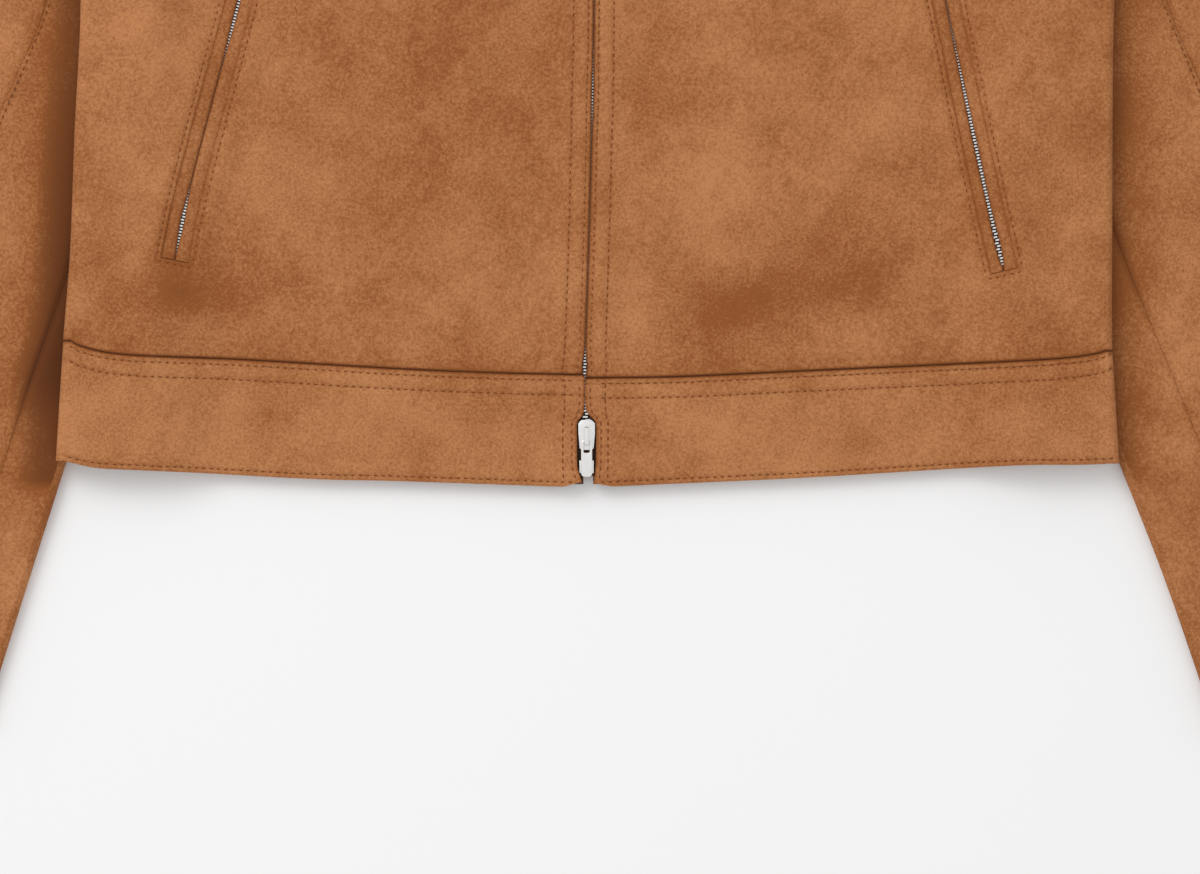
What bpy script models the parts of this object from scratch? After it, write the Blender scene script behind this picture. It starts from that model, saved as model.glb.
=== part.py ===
"""A cropped suede zip jacket, laid flat on its back with its sleeves at its sides.

Metres, +Z up off the surface, the neck towards +Y. Lengths below are in millimetres; the wearer's
left is at +X. Every suede piece is a wall round the jacket's laid-flat form: its two layers lie on
each other and turn over at the sides, the shoulders and along the sleeves.
"""

import math

import bpy
import numpy as np

MM = 0.001
UP = np.array((0.0, 0.0, 1.0))

# Cloth
SUEDE = 2.0  # one layer of suede with its fused backing
SLACK = 3.0  # air between the two layers
SEAM = 0.3  # gap between neighbouring pieces
TUBE = 2 * SUEDE + SLACK  # height of a laid tube
FOLD = TUBE / 2  # radius of a fold's outer face
LIFT = 7.8  # how far the body's sides rise over the sleeves
LIFT_START, LIFT_END = 158.0, 196.0  # distance from the centre where that rise starts and ends
LIFT_TOP, LIFT_FADE = 332.0, 80.0  # height where it starts to fade, and over how far
FRONT_WRAP = 125.0  # degrees of the side fold that the front covers
SHOULDER_WRAP = 87.5  # degrees of the shoulder fold that each layer covers
SEAM_ANGLE = math.degrees(SEAM / (FOLD - 0.75 * SUEDE))

# Front zip and the ridge that it makes
ZIP_HEIGHT = 4.6  # middle of the tape above the surface
TAPE = 0.6
TAPE_INNER, TAPE_OUTER = 1.4, 13.0
TAPE_PINNED = 2.9  # inner edge of the tape beside the pins
RIDGE, RIDGE_FLAT, RIDGE_FADE = 1.1, 3.6, 16.0
EDGE_GAP = 0.6  # from the zip's line to each front's edge
TAPE_LOW, TAPE_HIGH = 1.3, 520.0

# Outline
CENTRE_NECK = 485.0
NECK_RADIUS, NECK_TOP = 75.0, 560.0
SHOULDER_TIP = (205.0, 520.0)
COLLAR, COLLAR_SIDE, COLLAR_TOP_DIP = 42.0, 68.0, 6.0
BACK_NECK_DIP = 10.0
NECK_STEPS, NECK_SHARE = 8, 0.4  # points along the half neck, and the share of columns there
ARMPIT_FADE = 25.0  # length over which the side fold opens out into the armhole
ARMPIT = (232.0, 328.0)
BAND_DROP = 0.3  # how far the waistband lies below the fronts

# Pockets
LIP = 6.0  # from the slit to the window's edge
LIP_RECESS = 0.3
SLIT = 0.5
SLIDER_SLIT = 4.4
POCKET_RIDGE_FLAT = 6.3
POCKET_TAPE = 11.0

# Hardware
PLATE = 0.9
SLIDER_WIDTH, SLIDER_LENGTH, SLIDER_HEIGHT = 7.4, 13.2, 4.6
SLIDER_WAIST = 6.2
CHANNEL_WIDTH = 5.8
TAPE_SLOT = 1.2
WEDGE = 2.0
BRIDGE_WIDTH, BRIDGE_BAR, BRIDGE_ROOM = 1.8, 0.8, 1.7
BRIDGE_LOW, BRIDGE_HIGH, BRIDGE_FOOT = -4.6, 3.6, 1.0
PULL_WIDTH, PULL_LENGTH, PULL_THICK = 4.9, 16.0, 1.0
PULL_BAR, PULL_EYE, PULL_EYE_WIDTH = 0.9, 4.6, 2.7
PULL_AXIS = (-2.8, 0.85)  # along the zip from the slider's middle, and above its top plate
BOX_WIDTH, BOX_THICK, BOX_LOW, BOX_HIGH = 6.4, 4.4, 6.1, 11.7
PIN_THICK = 1.6
SLIDER_LOW, SLIDER_HIGH = 22.9, 514.0  # middles of the two front sliders
PULL_TILT = 11.5  # degrees that a pull rises where it lies on cloth

# Tables: X and Y of the laid jacket, from the middle of the hem, with X counted outwards.
# Side fold of the body, hem to armpit.
SIDE = {
    "left": [(232.3, 10.5), (231.5, 38.0), (229.3, 61.0), (229.3, 126.0), (229.6, 188.0),
             (230.6, 232.0), (231.2, 285.0), ARMPIT],
    "right": [(234.5, 12.5), (232.6, 45.0), (231.0, 68.0), (228.2, 104.0), (226.2, 157.0),
              (223.6, 214.0), (226.0, 268.0), ARMPIT],
}
# Armhole, armpit to shoulder tip.
ARMHOLE = [ARMPIT, (214.5, 424.0), SHOULDER_TIP]
# Seam between the fronts and the waistband.
WAIST = {
    "left": [(1.0, 48.0), (40.0, 48.6), (92.4, 51.0), (171.6, 54.6), (205.0, 56.4), (222.0, 58.6),
             (229.3, 61.4)],
    "right": [(0.0, 49.3), (40.0, 50.2), (83.6, 52.0), (154.0, 56.1), (202.8, 58.1), (223.0, 61.8),
              (231.2, 67.0)],
}
# Lower edge of the waistband.
HEM = {
    "left": [(0.0, -0.3), (26.4, 1.0), (92.4, 4.0), (180.4, 9.2), (215.0, 9.8), (232.3, 10.5)],
    "right": [(0.0, 0.0), (8.8, 0.0), (83.6, 2.6), (118.8, 3.4), (171.6, 6.2), (198.0, 7.4),
              (217.8, 8.6), (234.5, 12.5)],
}
# The waistband's inner edge beside the front zip, hem to waist seam: X is signed here.
BAND_EDGE = {
    "left": [(1.6, 1.4), (2.4, 5.0), (2.9, 11.0), (3.0, 20.0), (2.9, 28.0), (0.2, 31.5),
             (-1.5, 35.0), (-1.6, 48.0)],
    "right": [(-3.6, 2.0), (-4.9, 5.5), (-5.9, 10.0), (-6.0, 20.0), (-5.9, 28.0), (-3.6, 31.5),
              (-2.9, 35.0), (-2.8, 49.3)],
}
# The front zip's line: X at each Y.
ZIP_LINE = [(-1.5, 0.0), (-1.5, 16.0), (-1.5, 30.0), (-2.2, 42.0), (-2.2, 56.0), (0.0, 126.0),
            (1.8, 214.0), (1.6, 320.0), (0.0, 420.0), (0.0, 480.0), (0.0, 530.0)]
# The pockets' slits, low end to high end.
POCKET = {
    "left": [(181.7, 94.9), (172.6, 135.1), (156.2, 214.3), (149.5, 250.0)],
    "right": [(182.2, 99.7), (174.7, 135.1), (154.0, 214.3), (145.5, 250.0)],
}
# Folds and seams of the sleeves, armhole to cuff. The inner fold runs under the body.
SLEEVE_INNER = {
    "left": [(236.5, 314.0), (238.0, 303.0), (236.5, 290.0), (229.0, 262.0), (219.0, 235.0),
             (210.0, 208.0), (204.0, 175.0), (202.0, 140.0), (203.0, 110.0), (211.0, 72.0),
             (229.0, 20.0), (243.3, -14.5), (268.4, -86.0), (276.5, -110.0)],
    "right": [(236.5, 314.0), (238.0, 303.0), (235.0, 289.0), (226.0, 262.0), (217.0, 235.0),
              (209.0, 208.0), (203.5, 175.0), (202.0, 140.0), (203.0, 110.0), (211.0, 72.0),
              (227.5, 20.0), (238.5, -14.5), (260.5, -86.0), (268.5, -110.0)],
}
UNDER_SEAM = {
    "left": [(244.0, 316.0), (246.0, 303.0), (244.5, 290.0), (237.0, 262.0), (227.5, 235.0),
             (219.5, 208.0), (217.0, 175.0), (220.5, 142.0), (228.8, 115.3), (242.4, 82.3),
             (251.7, 59.4), (260.9, 37.0), (268.4, 20.2), (290.0, -42.0), (304.0, -99.0)],
    "right": [(244.0, 316.0), (246.0, 303.0), (243.0, 290.0), (234.5, 262.0), (225.5, 235.0),
              (218.0, 208.0), (214.0, 172.0), (218.0, 130.0), (228.2, 97.7), (238.0, 70.8),
              (245.0, 50.6), (252.0, 26.8), (257.8, 5.7), (281.0, -60.0), (296.0, -100.0)],
}
OUTER_SEAM = {
    "left": [(251.0, 318.0), (252.5, 304.0), (251.5, 290.0), (249.0, 262.0), (248.5, 238.0),
             (253.4, 214.3), (268.4, 177.3), (300.0, 90.0), (326.0, 0.0), (346.0, -85.0)],
    "right": [(251.0, 318.0), (252.0, 304.0), (250.0, 290.0), (242.5, 262.0), (237.5, 238.0),
              (238.9, 214.3), (259.6, 163.7), (290.0, 90.0), (318.0, 0.0), (340.0, -85.0)],
}
SLEEVE_OUTER = [(248.0, 493.0), (288.0, 440.0), (322.0, 350.0), (346.0, 240.0), (366.0, 120.0),
                (384.0, 10.0), (394.0, -68.0)]
ELBOW_SEAM = [(258.0, 330.0), (267.0, 290.0), (275.0, 230.0), (283.0, 140.0), (301.0, 20.0),
              (323.0, -93.0)]
# Stations along the armhole seam, as fractions of its length from the armpit, and those of them
# where the sleeve's seams end.
ARMHOLE_STATIONS = np.array((0.0, 0.07, 0.22, 0.35, 0.52, 0.7, 0.86, 1.0))
AT_UNDER, AT_OUTER, AT_ELBOW = 1, 2, 3
# Stations along a sleeve, as fractions of its length.
SLEEVE_STATIONS = (0.0, 0.02, 0.045, 0.08, 0.125, 0.18, 0.25, 0.34, 0.44, 0.55, 0.68, 0.84, 1.0)
SLEEVE_DROP = 42.0  # distance over which a sleeve comes down from the armhole to the surface

# Columns of the fronts and of the back, as fractions from the middle to the side fold. The
# waistband has the same ones, so that its seam runs along theirs.
FRONT_COLUMNS = (0.0, 0.012, 0.03, 0.06, 0.12, 0.22, 0.31, 0.4, 0.5, 0.6, 0.68, 0.74, 0.8, 0.87, 1.0)
BACK_COLUMNS = (0.0, 0.1, 0.2, 0.3, 0.4, 0.5, 0.6, 0.68, 0.74, 0.8, 0.87, 1.0)

# Materials: colour, roughness, metallic
FINISHES = {
    "suede": ((0.38, 0.155, 0.058, 1.0), 0.95, 0.0),
    "zip_tape": ((0.22, 0.10, 0.045, 1.0), 0.85, 0.0),
    "nickel": ((0.82, 0.82, 0.83, 1.0), 0.2, 1.0),
}


def smooth(value):
    value = np.clip(value, 0.0, 1.0)
    return value * value * (3.0 - 2.0 * value)


def through(rows, steps=10):
    """A dense smooth line through a table's rows (a Catmull-Rom spline)."""
    points = np.array(rows, float)
    points = np.vstack([2 * points[0] - points[1], points, 2 * points[-1] - points[-2]])
    line = []
    for i in range(1, len(points) - 2):
        before, start, end, after = points[i - 1:i + 3]
        for t in np.arange(steps) / steps:
            line.append(
                start
                + 0.5 * t * (end - before)
                + t * t * (before - 2.5 * start + 2 * end - 0.5 * after)
                + t ** 3 * (1.5 * start - 0.5 * before - 1.5 * end + 0.5 * after)
            )
    line.append(points[-2])
    return np.array(line)


def lengths(line):
    steps = np.linalg.norm(np.diff(line, axis=0), axis=1)
    return np.concatenate([[0.0], np.cumsum(steps)])


def along(line, fractions):
    """Points at fractions of a line's length."""
    run = lengths(line)
    wanted = np.asarray(fractions, float) * run[-1]
    return np.column_stack([np.interp(wanted, run, line[:, k]) for k in range(2)])


def height_on(line, x):
    """Y at X on a line that runs along X."""
    return np.interp(x, line[:, 0], line[:, 1])


def shifted(line, distance):
    """A line moved to its left by a distance."""
    run = np.gradient(line, axis=0)
    run /= np.linalg.norm(run, axis=1)[:, None]
    return line + distance * np.column_stack([-run[:, 1], run[:, 0]])


def zip_x(y):
    line = through(ZIP_LINE)
    return np.interp(y, line[:, 1], line[:, 0])


def sign_of(side):
    return 1.0 if side == "left" else -1.0


def signed(points, side):
    """Points of a table that counts X outwards, on their own side of the jacket."""
    return np.array(points, float) * (sign_of(side), 1.0)


def lift(x, y):
    """How far the body's underside is above the surface."""
    sides = smooth((np.abs(x) - LIFT_START) / (LIFT_END - LIFT_START))
    return LIFT * sides * (1.0 - smooth((y - LIFT_TOP) / LIFT_FADE))


POCKET_LINES = {side: signed(through(POCKET[side]), side) for side in POCKET}


def from_pockets(x, y):
    """Distance to the nearer pocket slit."""
    slits = np.vstack(list(POCKET_LINES.values()))
    gaps = np.hypot(np.asarray(x)[..., None] - slits[:, 0], np.asarray(y)[..., None] - slits[:, 1])
    return gaps.min(axis=-1)


def ridge(x, y):
    """How far the zips under the suede push it up."""
    front = 1.0 - smooth((np.abs(x - zip_x(y)) - RIDGE_FLAT) / RIDGE_FADE)
    pocket = 1.0 - smooth((from_pockets(x, y) - POCKET_RIDGE_FLAT) / RIDGE_FADE)
    return RIDGE * np.maximum(front, pocket)


def body_top(x, y):
    return lift(x, y) + TUBE + ridge(x, y)


def coons(bottom, top, start, end, u, v):
    """Fill the space between four lines: bottom and top at u, start and end at v."""
    u = np.asarray(u)[:, None, None]
    v = np.asarray(v)[None, :, None]
    across = (1 - v) * bottom[:, None] + v * top[:, None]
    upward = (1 - u) * start[None] + u * end[None]
    corners = (
        (1 - u) * (1 - v) * bottom[0] + u * (1 - v) * bottom[-1]
        + (1 - u) * v * top[0] + u * v * top[-1]
    )
    return across + upward - corners


def wrap_steps(count, degrees, folds):
    """Reach, drop and turn, for each step and place, where a layer turns over an edge.

    folds is 1 where the edge is a fold and 0 where it is a plain cut edge.
    """
    share = (np.arange(1, count + 1) / count)[:, None]
    angle = np.radians(degrees) * share
    flat = share * (1.0 - SEAM / 2 / FOLD)
    reach = folds * np.sin(angle) + (1 - folds) * flat
    drop = folds * FOLD * (1 - np.cos(angle))
    return reach, drop, folds * angle


def outward(step, turn):
    """Unit vectors that lean from straight up towards a step in plan, by a turn."""
    step = step / np.linalg.norm(step, axis=-1)[..., None]
    turn = np.broadcast_to(turn, step.shape[:-1])
    return np.concatenate([step * np.sin(turn)[..., None], np.cos(turn)[..., None]], axis=-1)


def finish(name):
    found = bpy.data.materials.get(name)
    if found:
        return found
    colour, roughness, metallic = FINISHES[name]
    made = bpy.data.materials.new(name)
    made.use_nodes = True
    shader = made.node_tree.nodes["Principled BSDF"]
    shader.inputs["Base Color"].default_value = colour
    shader.inputs["Roughness"].default_value = roughness
    shader.inputs["Metallic"].default_value = metallic
    made.diffuse_color = colour
    return made


def add_object(name, points, faces, material, origin=(0.0, 0.0, 0.0)):
    """A new object from points in millimetres, with its origin where it is asked for."""
    mesh = bpy.data.meshes.new(name)
    points = (np.asarray(points, float) - origin) * MM
    mesh.from_pydata(points.tolist(), [], faces)
    mesh.materials.append(finish(material))
    mesh.validate()
    made = bpy.data.objects.new(name, mesh)
    made.location = np.asarray(origin, float) * MM
    bpy.context.scene.collection.objects.link(made)
    return made


def sheet(name, outer, material, flip, away=UP, wall=SUEDE):
    """A wall of cloth: the outer face is a grid of points, and the inner one lies a wall inside.

    away points out of the cloth at each point. flip turns the order of the faces over.
    """
    columns, rows = outer.shape[:2]
    inner = outer - wall * away
    points = np.concatenate([outer.reshape(-1, 3), inner.reshape(-1, 3)])
    count = columns * rows
    faces = []
    for i in range(columns - 1):
        for j in range(rows - 1):
            a = i * rows + j
            face = (a, a + rows, a + rows + 1, a + 1)
            faces.append(face)
            faces.append(tuple(count + k for k in reversed(face)))
    rim = [i * rows for i in range(columns)]
    rim += [(columns - 1) * rows + j for j in range(1, rows)]
    rim += [i * rows + rows - 1 for i in range(columns - 2, -1, -1)]
    rim += [j for j in range(rows - 2, 0, -1)]
    for a, b in zip(rim, rim[1:] + rim[:1]):
        faces.append((b, a, count + a, count + b))
    if flip:
        faces = [tuple(reversed(face)) for face in faces]
    return add_object(name, points, faces, material)


def prism(name, outline, low, high, material="nickel", origin=(0.0, 0.0, 0.0)):
    """An upright prism over an outline that runs anticlockwise."""
    count = len(outline)
    points = [(x, y, z) for z in (low, high) for x, y in outline]
    faces = [tuple(reversed(range(count))), tuple(range(count, 2 * count))]
    faces += [(i, (i + 1) % count, count + (i + 1) % count, count + i) for i in range(count)]
    return add_object(name, points, faces, material, origin)


def combine(target, tool, operation):
    """Cut a tool out of a solid, or join it on; the tool stays as a hidden guide."""
    tool.hide_render = True
    tool.display_type = "WIRE"
    step = target.modifiers.new(tool.name, "BOOLEAN")
    step.object = tool
    step.operation = operation
    step.solver = "EXACT"


# Body


def side_lines(side):
    """The body's side and armhole, as its outer line and the line where its fold begins."""
    low = through(SIDE[side])
    high = through(ARMHOLE)
    outer = np.vstack([low, high[1:]])
    return outer, shifted(outer, FOLD)


def top_lines(neck):
    """The neck and shoulder, as the outer line and the line where the fold begins."""
    tip = np.array(SHOULDER_TIP)
    corner = np.array((NECK_RADIUS, NECK_TOP))
    slope = (tip - corner) / np.linalg.norm(tip - corner)
    down = np.array((slope[1], -slope[0]))
    end = tip - slope * FOLD / slope[0]
    start = np.array((NECK_RADIUS + FOLD, NECK_TOP + FOLD * (down[1] + slope[1])))
    shares = np.linspace(0, 1, NECK_STEPS + 1)
    outer = np.vstack([neck(0.0), along(np.array([corner, end]), shares)[1:]])
    inner = np.vstack([neck(FOLD), along(np.array([start, end + FOLD * down]), shares)[1:]])
    return outer, inner


def front_neck(inset, count=NECK_STEPS + 1):
    angle = np.radians(np.linspace(0, 90, count))
    radius = NECK_RADIUS + inset
    return np.column_stack([radius * np.sin(angle), NECK_TOP - radius * np.cos(angle)])


def back_neck(inset, count=NECK_STEPS + 1):
    x = np.linspace(0, NECK_RADIUS + inset, count)
    dip = BACK_NECK_DIP * (1 - (x / (NECK_RADIUS + inset)) ** 2)
    return np.column_stack([x, NECK_TOP - dip - inset])


def at_shares(line, turn, share_of_turn, shares):
    """Points on a line that has a corner at index turn, with the corner at a share of its own."""
    index = np.interp(shares, [0.0, share_of_turn, 1.0], [0.0, turn, len(line) - 1.0])
    steps = np.arange(len(line))
    return np.column_stack([np.interp(index, steps, line[:, k]) for k in range(2)])


def body_half(side, neck, waist, centre, across, low_rows, wrap, fold_steps=4):
    """Plan points, fold drops and outward vectors of half the body.

    Columns run from the centre to the side, and rows from the waist to the shoulder, where wrap
    holds the degrees of the side fold and of the shoulder fold that this layer covers.
    """
    side_outer, side_inner = side_lines(side)
    run = lengths(side_outer) / lengths(side_outer)[-1]
    start = np.interp(height_on(waist, waist[-1, 0]), side_outer[:, 1], run)
    armpit = run[len(through(SIDE[side])) - 1]
    shares = np.concatenate([
        np.linspace(start, armpit, low_rows)[:-1],
        armpit + (1 - armpit) * ARMHOLE_STATIONS,
    ])
    upward = (shares - start) / (1 - start)
    across = np.array(across)
    rail_outer = along(side_outer, shares)
    rail_inner = np.column_stack([np.interp(shares, run, side_inner[:, k]) for k in range(2)])
    top_outer, top_inner = top_lines(neck)
    crest_outer = at_shares(top_outer, NECK_STEPS, NECK_SHARE, across)
    crest_inner = at_shares(top_inner, NECK_STEPS, NECK_SHARE, across)
    crest_inner[-1] = rail_inner[-1] = top_inner[-1]
    tip = np.array(SHOULDER_TIP)
    last = rail_outer[-2] - tip
    rail_outer[-1] = tip + FOLD * last / np.linalg.norm(last)
    middle = np.column_stack([
        np.zeros(len(upward)),
        np.interp(upward, [0, 1], [height_on(waist, waist[0, 0]), crest_inner[0, 1]]),
    ])
    middle[:, 0] = centre(middle[:, 1])
    crest_inner[0] = middle[-1]
    crest_outer[0, 0] = centre(crest_outer[0, 1])
    base_x = np.interp(across, [0, 1], [middle[0, 0], rail_inner[0, 0]])
    base = np.column_stack([base_x, height_on(waist, base_x)])
    rail_inner[0] = base[-1]
    middle[0] = base[0]
    plan = coons(base, crest_inner, middle, rail_inner, across, upward)

    columns, rows = len(across), len(upward)
    plan_all = np.zeros((columns + fold_steps, rows + fold_steps, 2))
    rest_all = np.zeros_like(plan_all)  # the place whose height a point takes
    drop_all = np.zeros(plan_all.shape[:2])
    away_all = np.zeros((*plan_all.shape[:2], 3)) + UP
    is_side = 1.0 - smooth((rail_outer[:, 1] - ARMPIT[1] + ARMPIT_FADE) / ARMPIT_FADE)
    is_shoulder = smooth((across - NECK_SHARE) / 0.1)
    reach_x, drop_x, turn_x = wrap_steps(fold_steps, wrap[0], is_side)
    reach_y, drop_y, turn_y = wrap_steps(fold_steps, wrap[1], is_shoulder)
    step_x = rail_outer - rail_inner
    step_y = crest_outer - crest_inner
    plan_all[:columns, :rows] = rest_all[:columns, :rows] = plan
    for k in range(fold_steps):
        i, j = columns + k, rows + k
        plan_all[i, :rows] = rail_inner + step_x * reach_x[k][:, None]
        rest_all[i, :rows] = rail_inner
        drop_all[i, :rows] = drop_x[k]
        away_all[i, :rows] = outward(step_x, turn_x[k])
        plan_all[:columns, j] = crest_inner + step_y * reach_y[k][:, None]
        rest_all[:columns, j] = crest_inner
        drop_all[:columns, j] = drop_y[k]
        away_all[:columns, j] = outward(step_y, turn_y[k])
        for m in range(fold_steps):
            a, b = reach_x[m][-1], reach_y[k][-1]
            low = (1 - a) * top_inner[-1] + a * rail_outer[-1]
            high = (1 - a) * crest_outer[-1] + a * tip
            plan_all[columns + m, j] = (1 - b) * low + b * high
            rest_all[columns + m, j] = top_inner[-1]
            drop_all[columns + m, j] = drop_y[k][-1]
            away_all[columns + m, j] = outward(step_y[-1], turn_y[k][-1])
    way = sign_of(side)
    return plan_all * (way, 1.0), rest_all * (way, 1.0), drop_all, away_all * (way, 1.0, 1.0)


def make_front(side):
    """One front, with the window of its slanted pocket."""
    waist = through(WAIST[side]) + (0.0, SEAM / 2)
    centre = lambda y: sign_of(side) * zip_x(y) + EDGE_GAP
    plan, rest, drop, away = body_half(
        side, front_neck, waist, centre, FRONT_COLUMNS, 8, (FRONT_WRAP, SHOULDER_WRAP))
    height = body_top(rest[..., 0], rest[..., 1]) - drop
    made = sheet(f"front_{side}", np.dstack([plan, height]), "suede", side == "right", away)
    line = POCKET_LINES[side]
    edge = np.vstack([
        shifted(line, -LIP - SEAM / 2),
        shifted(line, LIP + SEAM / 2)[::-1],
    ])
    combine(made, prism(f"pocket_window_{side}", edge, 1.0, 30.0, "suede"), "DIFFERENCE")


def make_back():
    """The back: one piece from side fold to side fold, on the surface in the middle."""
    halves, ways = [], []
    wrap = (180.0 - FRONT_WRAP - SEAM_ANGLE, SHOULDER_WRAP)
    for side in ("left", "right"):
        waist = through(WAIST[side]) + (0.0, SEAM / 2)
        plan, rest, drop, away = body_half(
            side, back_neck, waist, lambda y: 0.0 * y, BACK_COLUMNS, 8, wrap)
        halves.append(np.dstack([plan, lift(rest[..., 0], rest[..., 1]) + drop]))
        ways.append(away * (1.0, 1.0, -1.0))
    left, right = halves
    right[0] = left[0] = (left[0] + right[0]) / 2
    sheet("back", np.concatenate([right[::-1], left[1:]]), "suede", True,
          np.concatenate([ways[1][::-1], ways[0][1:]]))


def band_outline(side, back):
    """Upper and lower lines of half the waistband, each as its outer line."""
    high = through(WAIST[side]) - (0.0, SEAM / 2)
    low = through(HEM[side])
    if back:
        low = low + (0.0, 1.0)
        low[:, 1] += 4.0 * (1 - smooth(low[:, 0] / 120.0))
    return high, low


def make_band():
    """The waistband: two fronts that open round the zip's lower end, and a back."""
    for side in ("left", "right"):
        edge = through(np.array(BAND_EDGE[side]) * (sign_of(side), 1.0))
        rows = (0.0, 0.15, 0.3, 0.45, 0.58, 0.7, 0.85, 1.0)
        high, low = band_outline(side, False)
        points = along(edge, rows)
        points[-1, 1] = height_on(high, points[-1, 0])
        outer, away = band_grid(side, FRONT_COLUMNS, points, rows, high, low)
        sheet(f"waistband_front_{side}", outer, "suede", side == "right", away)
    halves, ways = [], []
    rows = (0.0, 0.5, 1.0)
    for side in ("left", "right"):
        high, low = band_outline(side, True)
        points = [(0.0, (1 - share) * low[0, 1] + share * high[0, 1]) for share in rows]
        outer, away = band_grid(side, BACK_COLUMNS, points, rows, high, low, back=True)
        halves.append(outer)
        ways.append(away)
    left, right = halves
    right[0] = left[0]
    sheet("waistband_back", np.concatenate([right[::-1], left[1:]]), "suede", True,
          np.concatenate([ways[1][::-1], ways[0][1:]]))


def band_grid(side, across, inner, rows, high, low, back=False, fold_steps=4):
    """The outer face of half the waistband, with its side fold, and its outward vectors."""
    grid, ways = [], []
    way = sign_of(side)
    degrees = 180.0 - FRONT_WRAP - SEAM_ANGLE if back else FRONT_WRAP
    angle = np.radians(degrees) * np.arange(1, fold_steps + 1) / fold_steps
    turn = np.concatenate([np.zeros(len(across)), angle])
    drop = FOLD * (1 - np.cos(turn))
    for share, (inner_x, inner_y) in zip(rows, inner):
        far_x = (1 - share) * low[-1, 0] + share * high[-1, 0]
        x = np.interp(across, [0, 1], [inner_x, far_x - FOLD])
        y = (1 - share) * height_on(low, x) + share * height_on(high, x)
        y += (inner_y - y[0]) * (1 - smooth((x - x[0]) / 10.0))
        place_x = way * np.concatenate([x, x[-1] + FOLD * np.sin(angle)])
        place_y = np.concatenate([y, np.full(fold_steps, y[-1])])
        rest_x = way * np.concatenate([x, np.full(fold_steps, x[-1])])
        if back:
            height = lift(rest_x, place_y) + drop
        else:
            height = body_top(rest_x, place_y) - BAND_DROP * (1 - smooth(drop / FOLD)) - drop
        grid.append(np.column_stack([place_x, place_y, height]))
        up = -np.cos(turn) if back else np.cos(turn)
        ways.append(np.column_stack([way * np.sin(turn), 0.0 * turn, up]))
    return np.array(grid).transpose(1, 0, 2), np.array(ways).transpose(1, 0, 2)


def make_collar():
    """The stand collar: one band from zip to zip, folded at the sides of the neck."""
    shares = (0.0, 0.25, 0.5, 0.75, 1.0)
    quarter = np.radians(np.linspace(0, 90, 10))
    turn = np.radians(np.linspace(0, 180, 7))[1:-1]
    behind = np.linspace(-1, 1, 9)
    grid, ways = [], []
    for share in shares:
        reach = NECK_RADIUS + (COLLAR_SIDE - NECK_RADIUS) * share - FOLD
        gap = EDGE_GAP + (SLIDER_SLIT - EDGE_GAP) * smooth((share - 0.1) / 0.35)
        x = np.maximum(reach * np.sin(quarter), gap)
        y = NECK_TOP - NECK_RADIUS * np.cos(quarter) + SEAM + COLLAR * share
        z = TUBE + RIDGE * (1 - smooth((x - RIDGE_FLAT) / RIDGE_FADE))
        front = np.column_stack([x, y, z])
        fold = np.column_stack([
            reach + FOLD * np.sin(turn), np.full(len(turn), y[-1]), FOLD + FOLD * np.cos(turn)])
        dip = (BACK_NECK_DIP + (COLLAR_TOP_DIP - BACK_NECK_DIP) * share) * (1 - behind ** 2)
        back = np.column_stack([behind * reach, y[-1] + SEAM - dip, np.zeros(len(behind))])
        half = np.concatenate([front, fold])
        grid.append(np.concatenate([half * (-1.0, 1.0, 1.0), back, half[::-1]]))
        lean = np.column_stack([np.sin(turn), 0.0 * turn, np.cos(turn)])
        half = np.concatenate([np.zeros_like(front) + UP, lean])
        ways.append(np.concatenate([
            half * (-1.0, 1.0, 1.0), np.zeros_like(back) - UP, half[::-1]]))
    outer, away = np.array(grid), np.array(ways)
    sheet("collar", outer.transpose(1, 0, 2), "suede", True, away.transpose(1, 0, 2))


# Sleeves


ARMHOLE_EDGE = shifted(through(ARMHOLE), -SEAM / 2)  # the sleeve's side of the armhole seam


def armhole_point(share):
    """A point on the sleeve's side of the armhole seam, clear of the folds at its two ends."""
    inset = FOLD / lengths(ARMHOLE_EDGE)[-1]
    return along(ARMHOLE_EDGE, [inset + share * (1 - 2 * inset)])[0]


def sleeve_lift(plan):
    """How far a sleeve's underside is above the surface: as the body is at the armhole."""
    gaps = np.linalg.norm(plan[..., None, :] - ARMHOLE_EDGE, axis=-1).min(axis=-1)
    fade = 1.0 - smooth((plan[..., 1] - LIFT_TOP) / LIFT_FADE)
    return LIFT * fade * (1.0 - smooth(gaps / SLEEVE_DROP))


def sleeve_face(first, last, places):
    """Plan points between two rails: a column for each place on the armhole."""
    stations = np.array(SLEEVE_STATIONS)
    start, end = along(first, stations), along(last, stations)
    grid = []
    for place in places:
        part = (place - places[0]) / (places[-1] - places[0])
        column = (1 - part) * start + part * end
        grid.append(column + np.outer((1 - stations) ** 4, armhole_point(place) - column[0]))
    return np.array(grid)


def inward(edge, beside):
    """Unit vectors in plan, square to a panel's edge, but along the armhole where it starts."""
    step = beside - edge
    step /= np.linalg.norm(step, axis=1)[:, None]
    run = np.gradient(edge, axis=0)
    run /= np.linalg.norm(run, axis=1)[:, None]
    square = np.column_stack([-run[:, 1], run[:, 0]])
    square *= np.sign((square * step).sum(axis=1))[:, None]
    lean = np.clip(1.0 - np.array(SLEEVE_STATIONS) / 0.03, 0.0, 1.0)[:, None]
    way = (1.0 - lean) * square + lean * step
    return way / np.linalg.norm(way, axis=1)[:, None]


def seam_step(grid, at_start, at_end):
    """Draw the first and last columns of a panel back from its seams."""
    start, end = inward(grid[0], grid[1]), inward(grid[-1], grid[-2])
    if at_start:
        grid[0] += SEAM / 2 * start
    if at_end:
        grid[-1] += SEAM / 2 * end
    return grid


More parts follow.
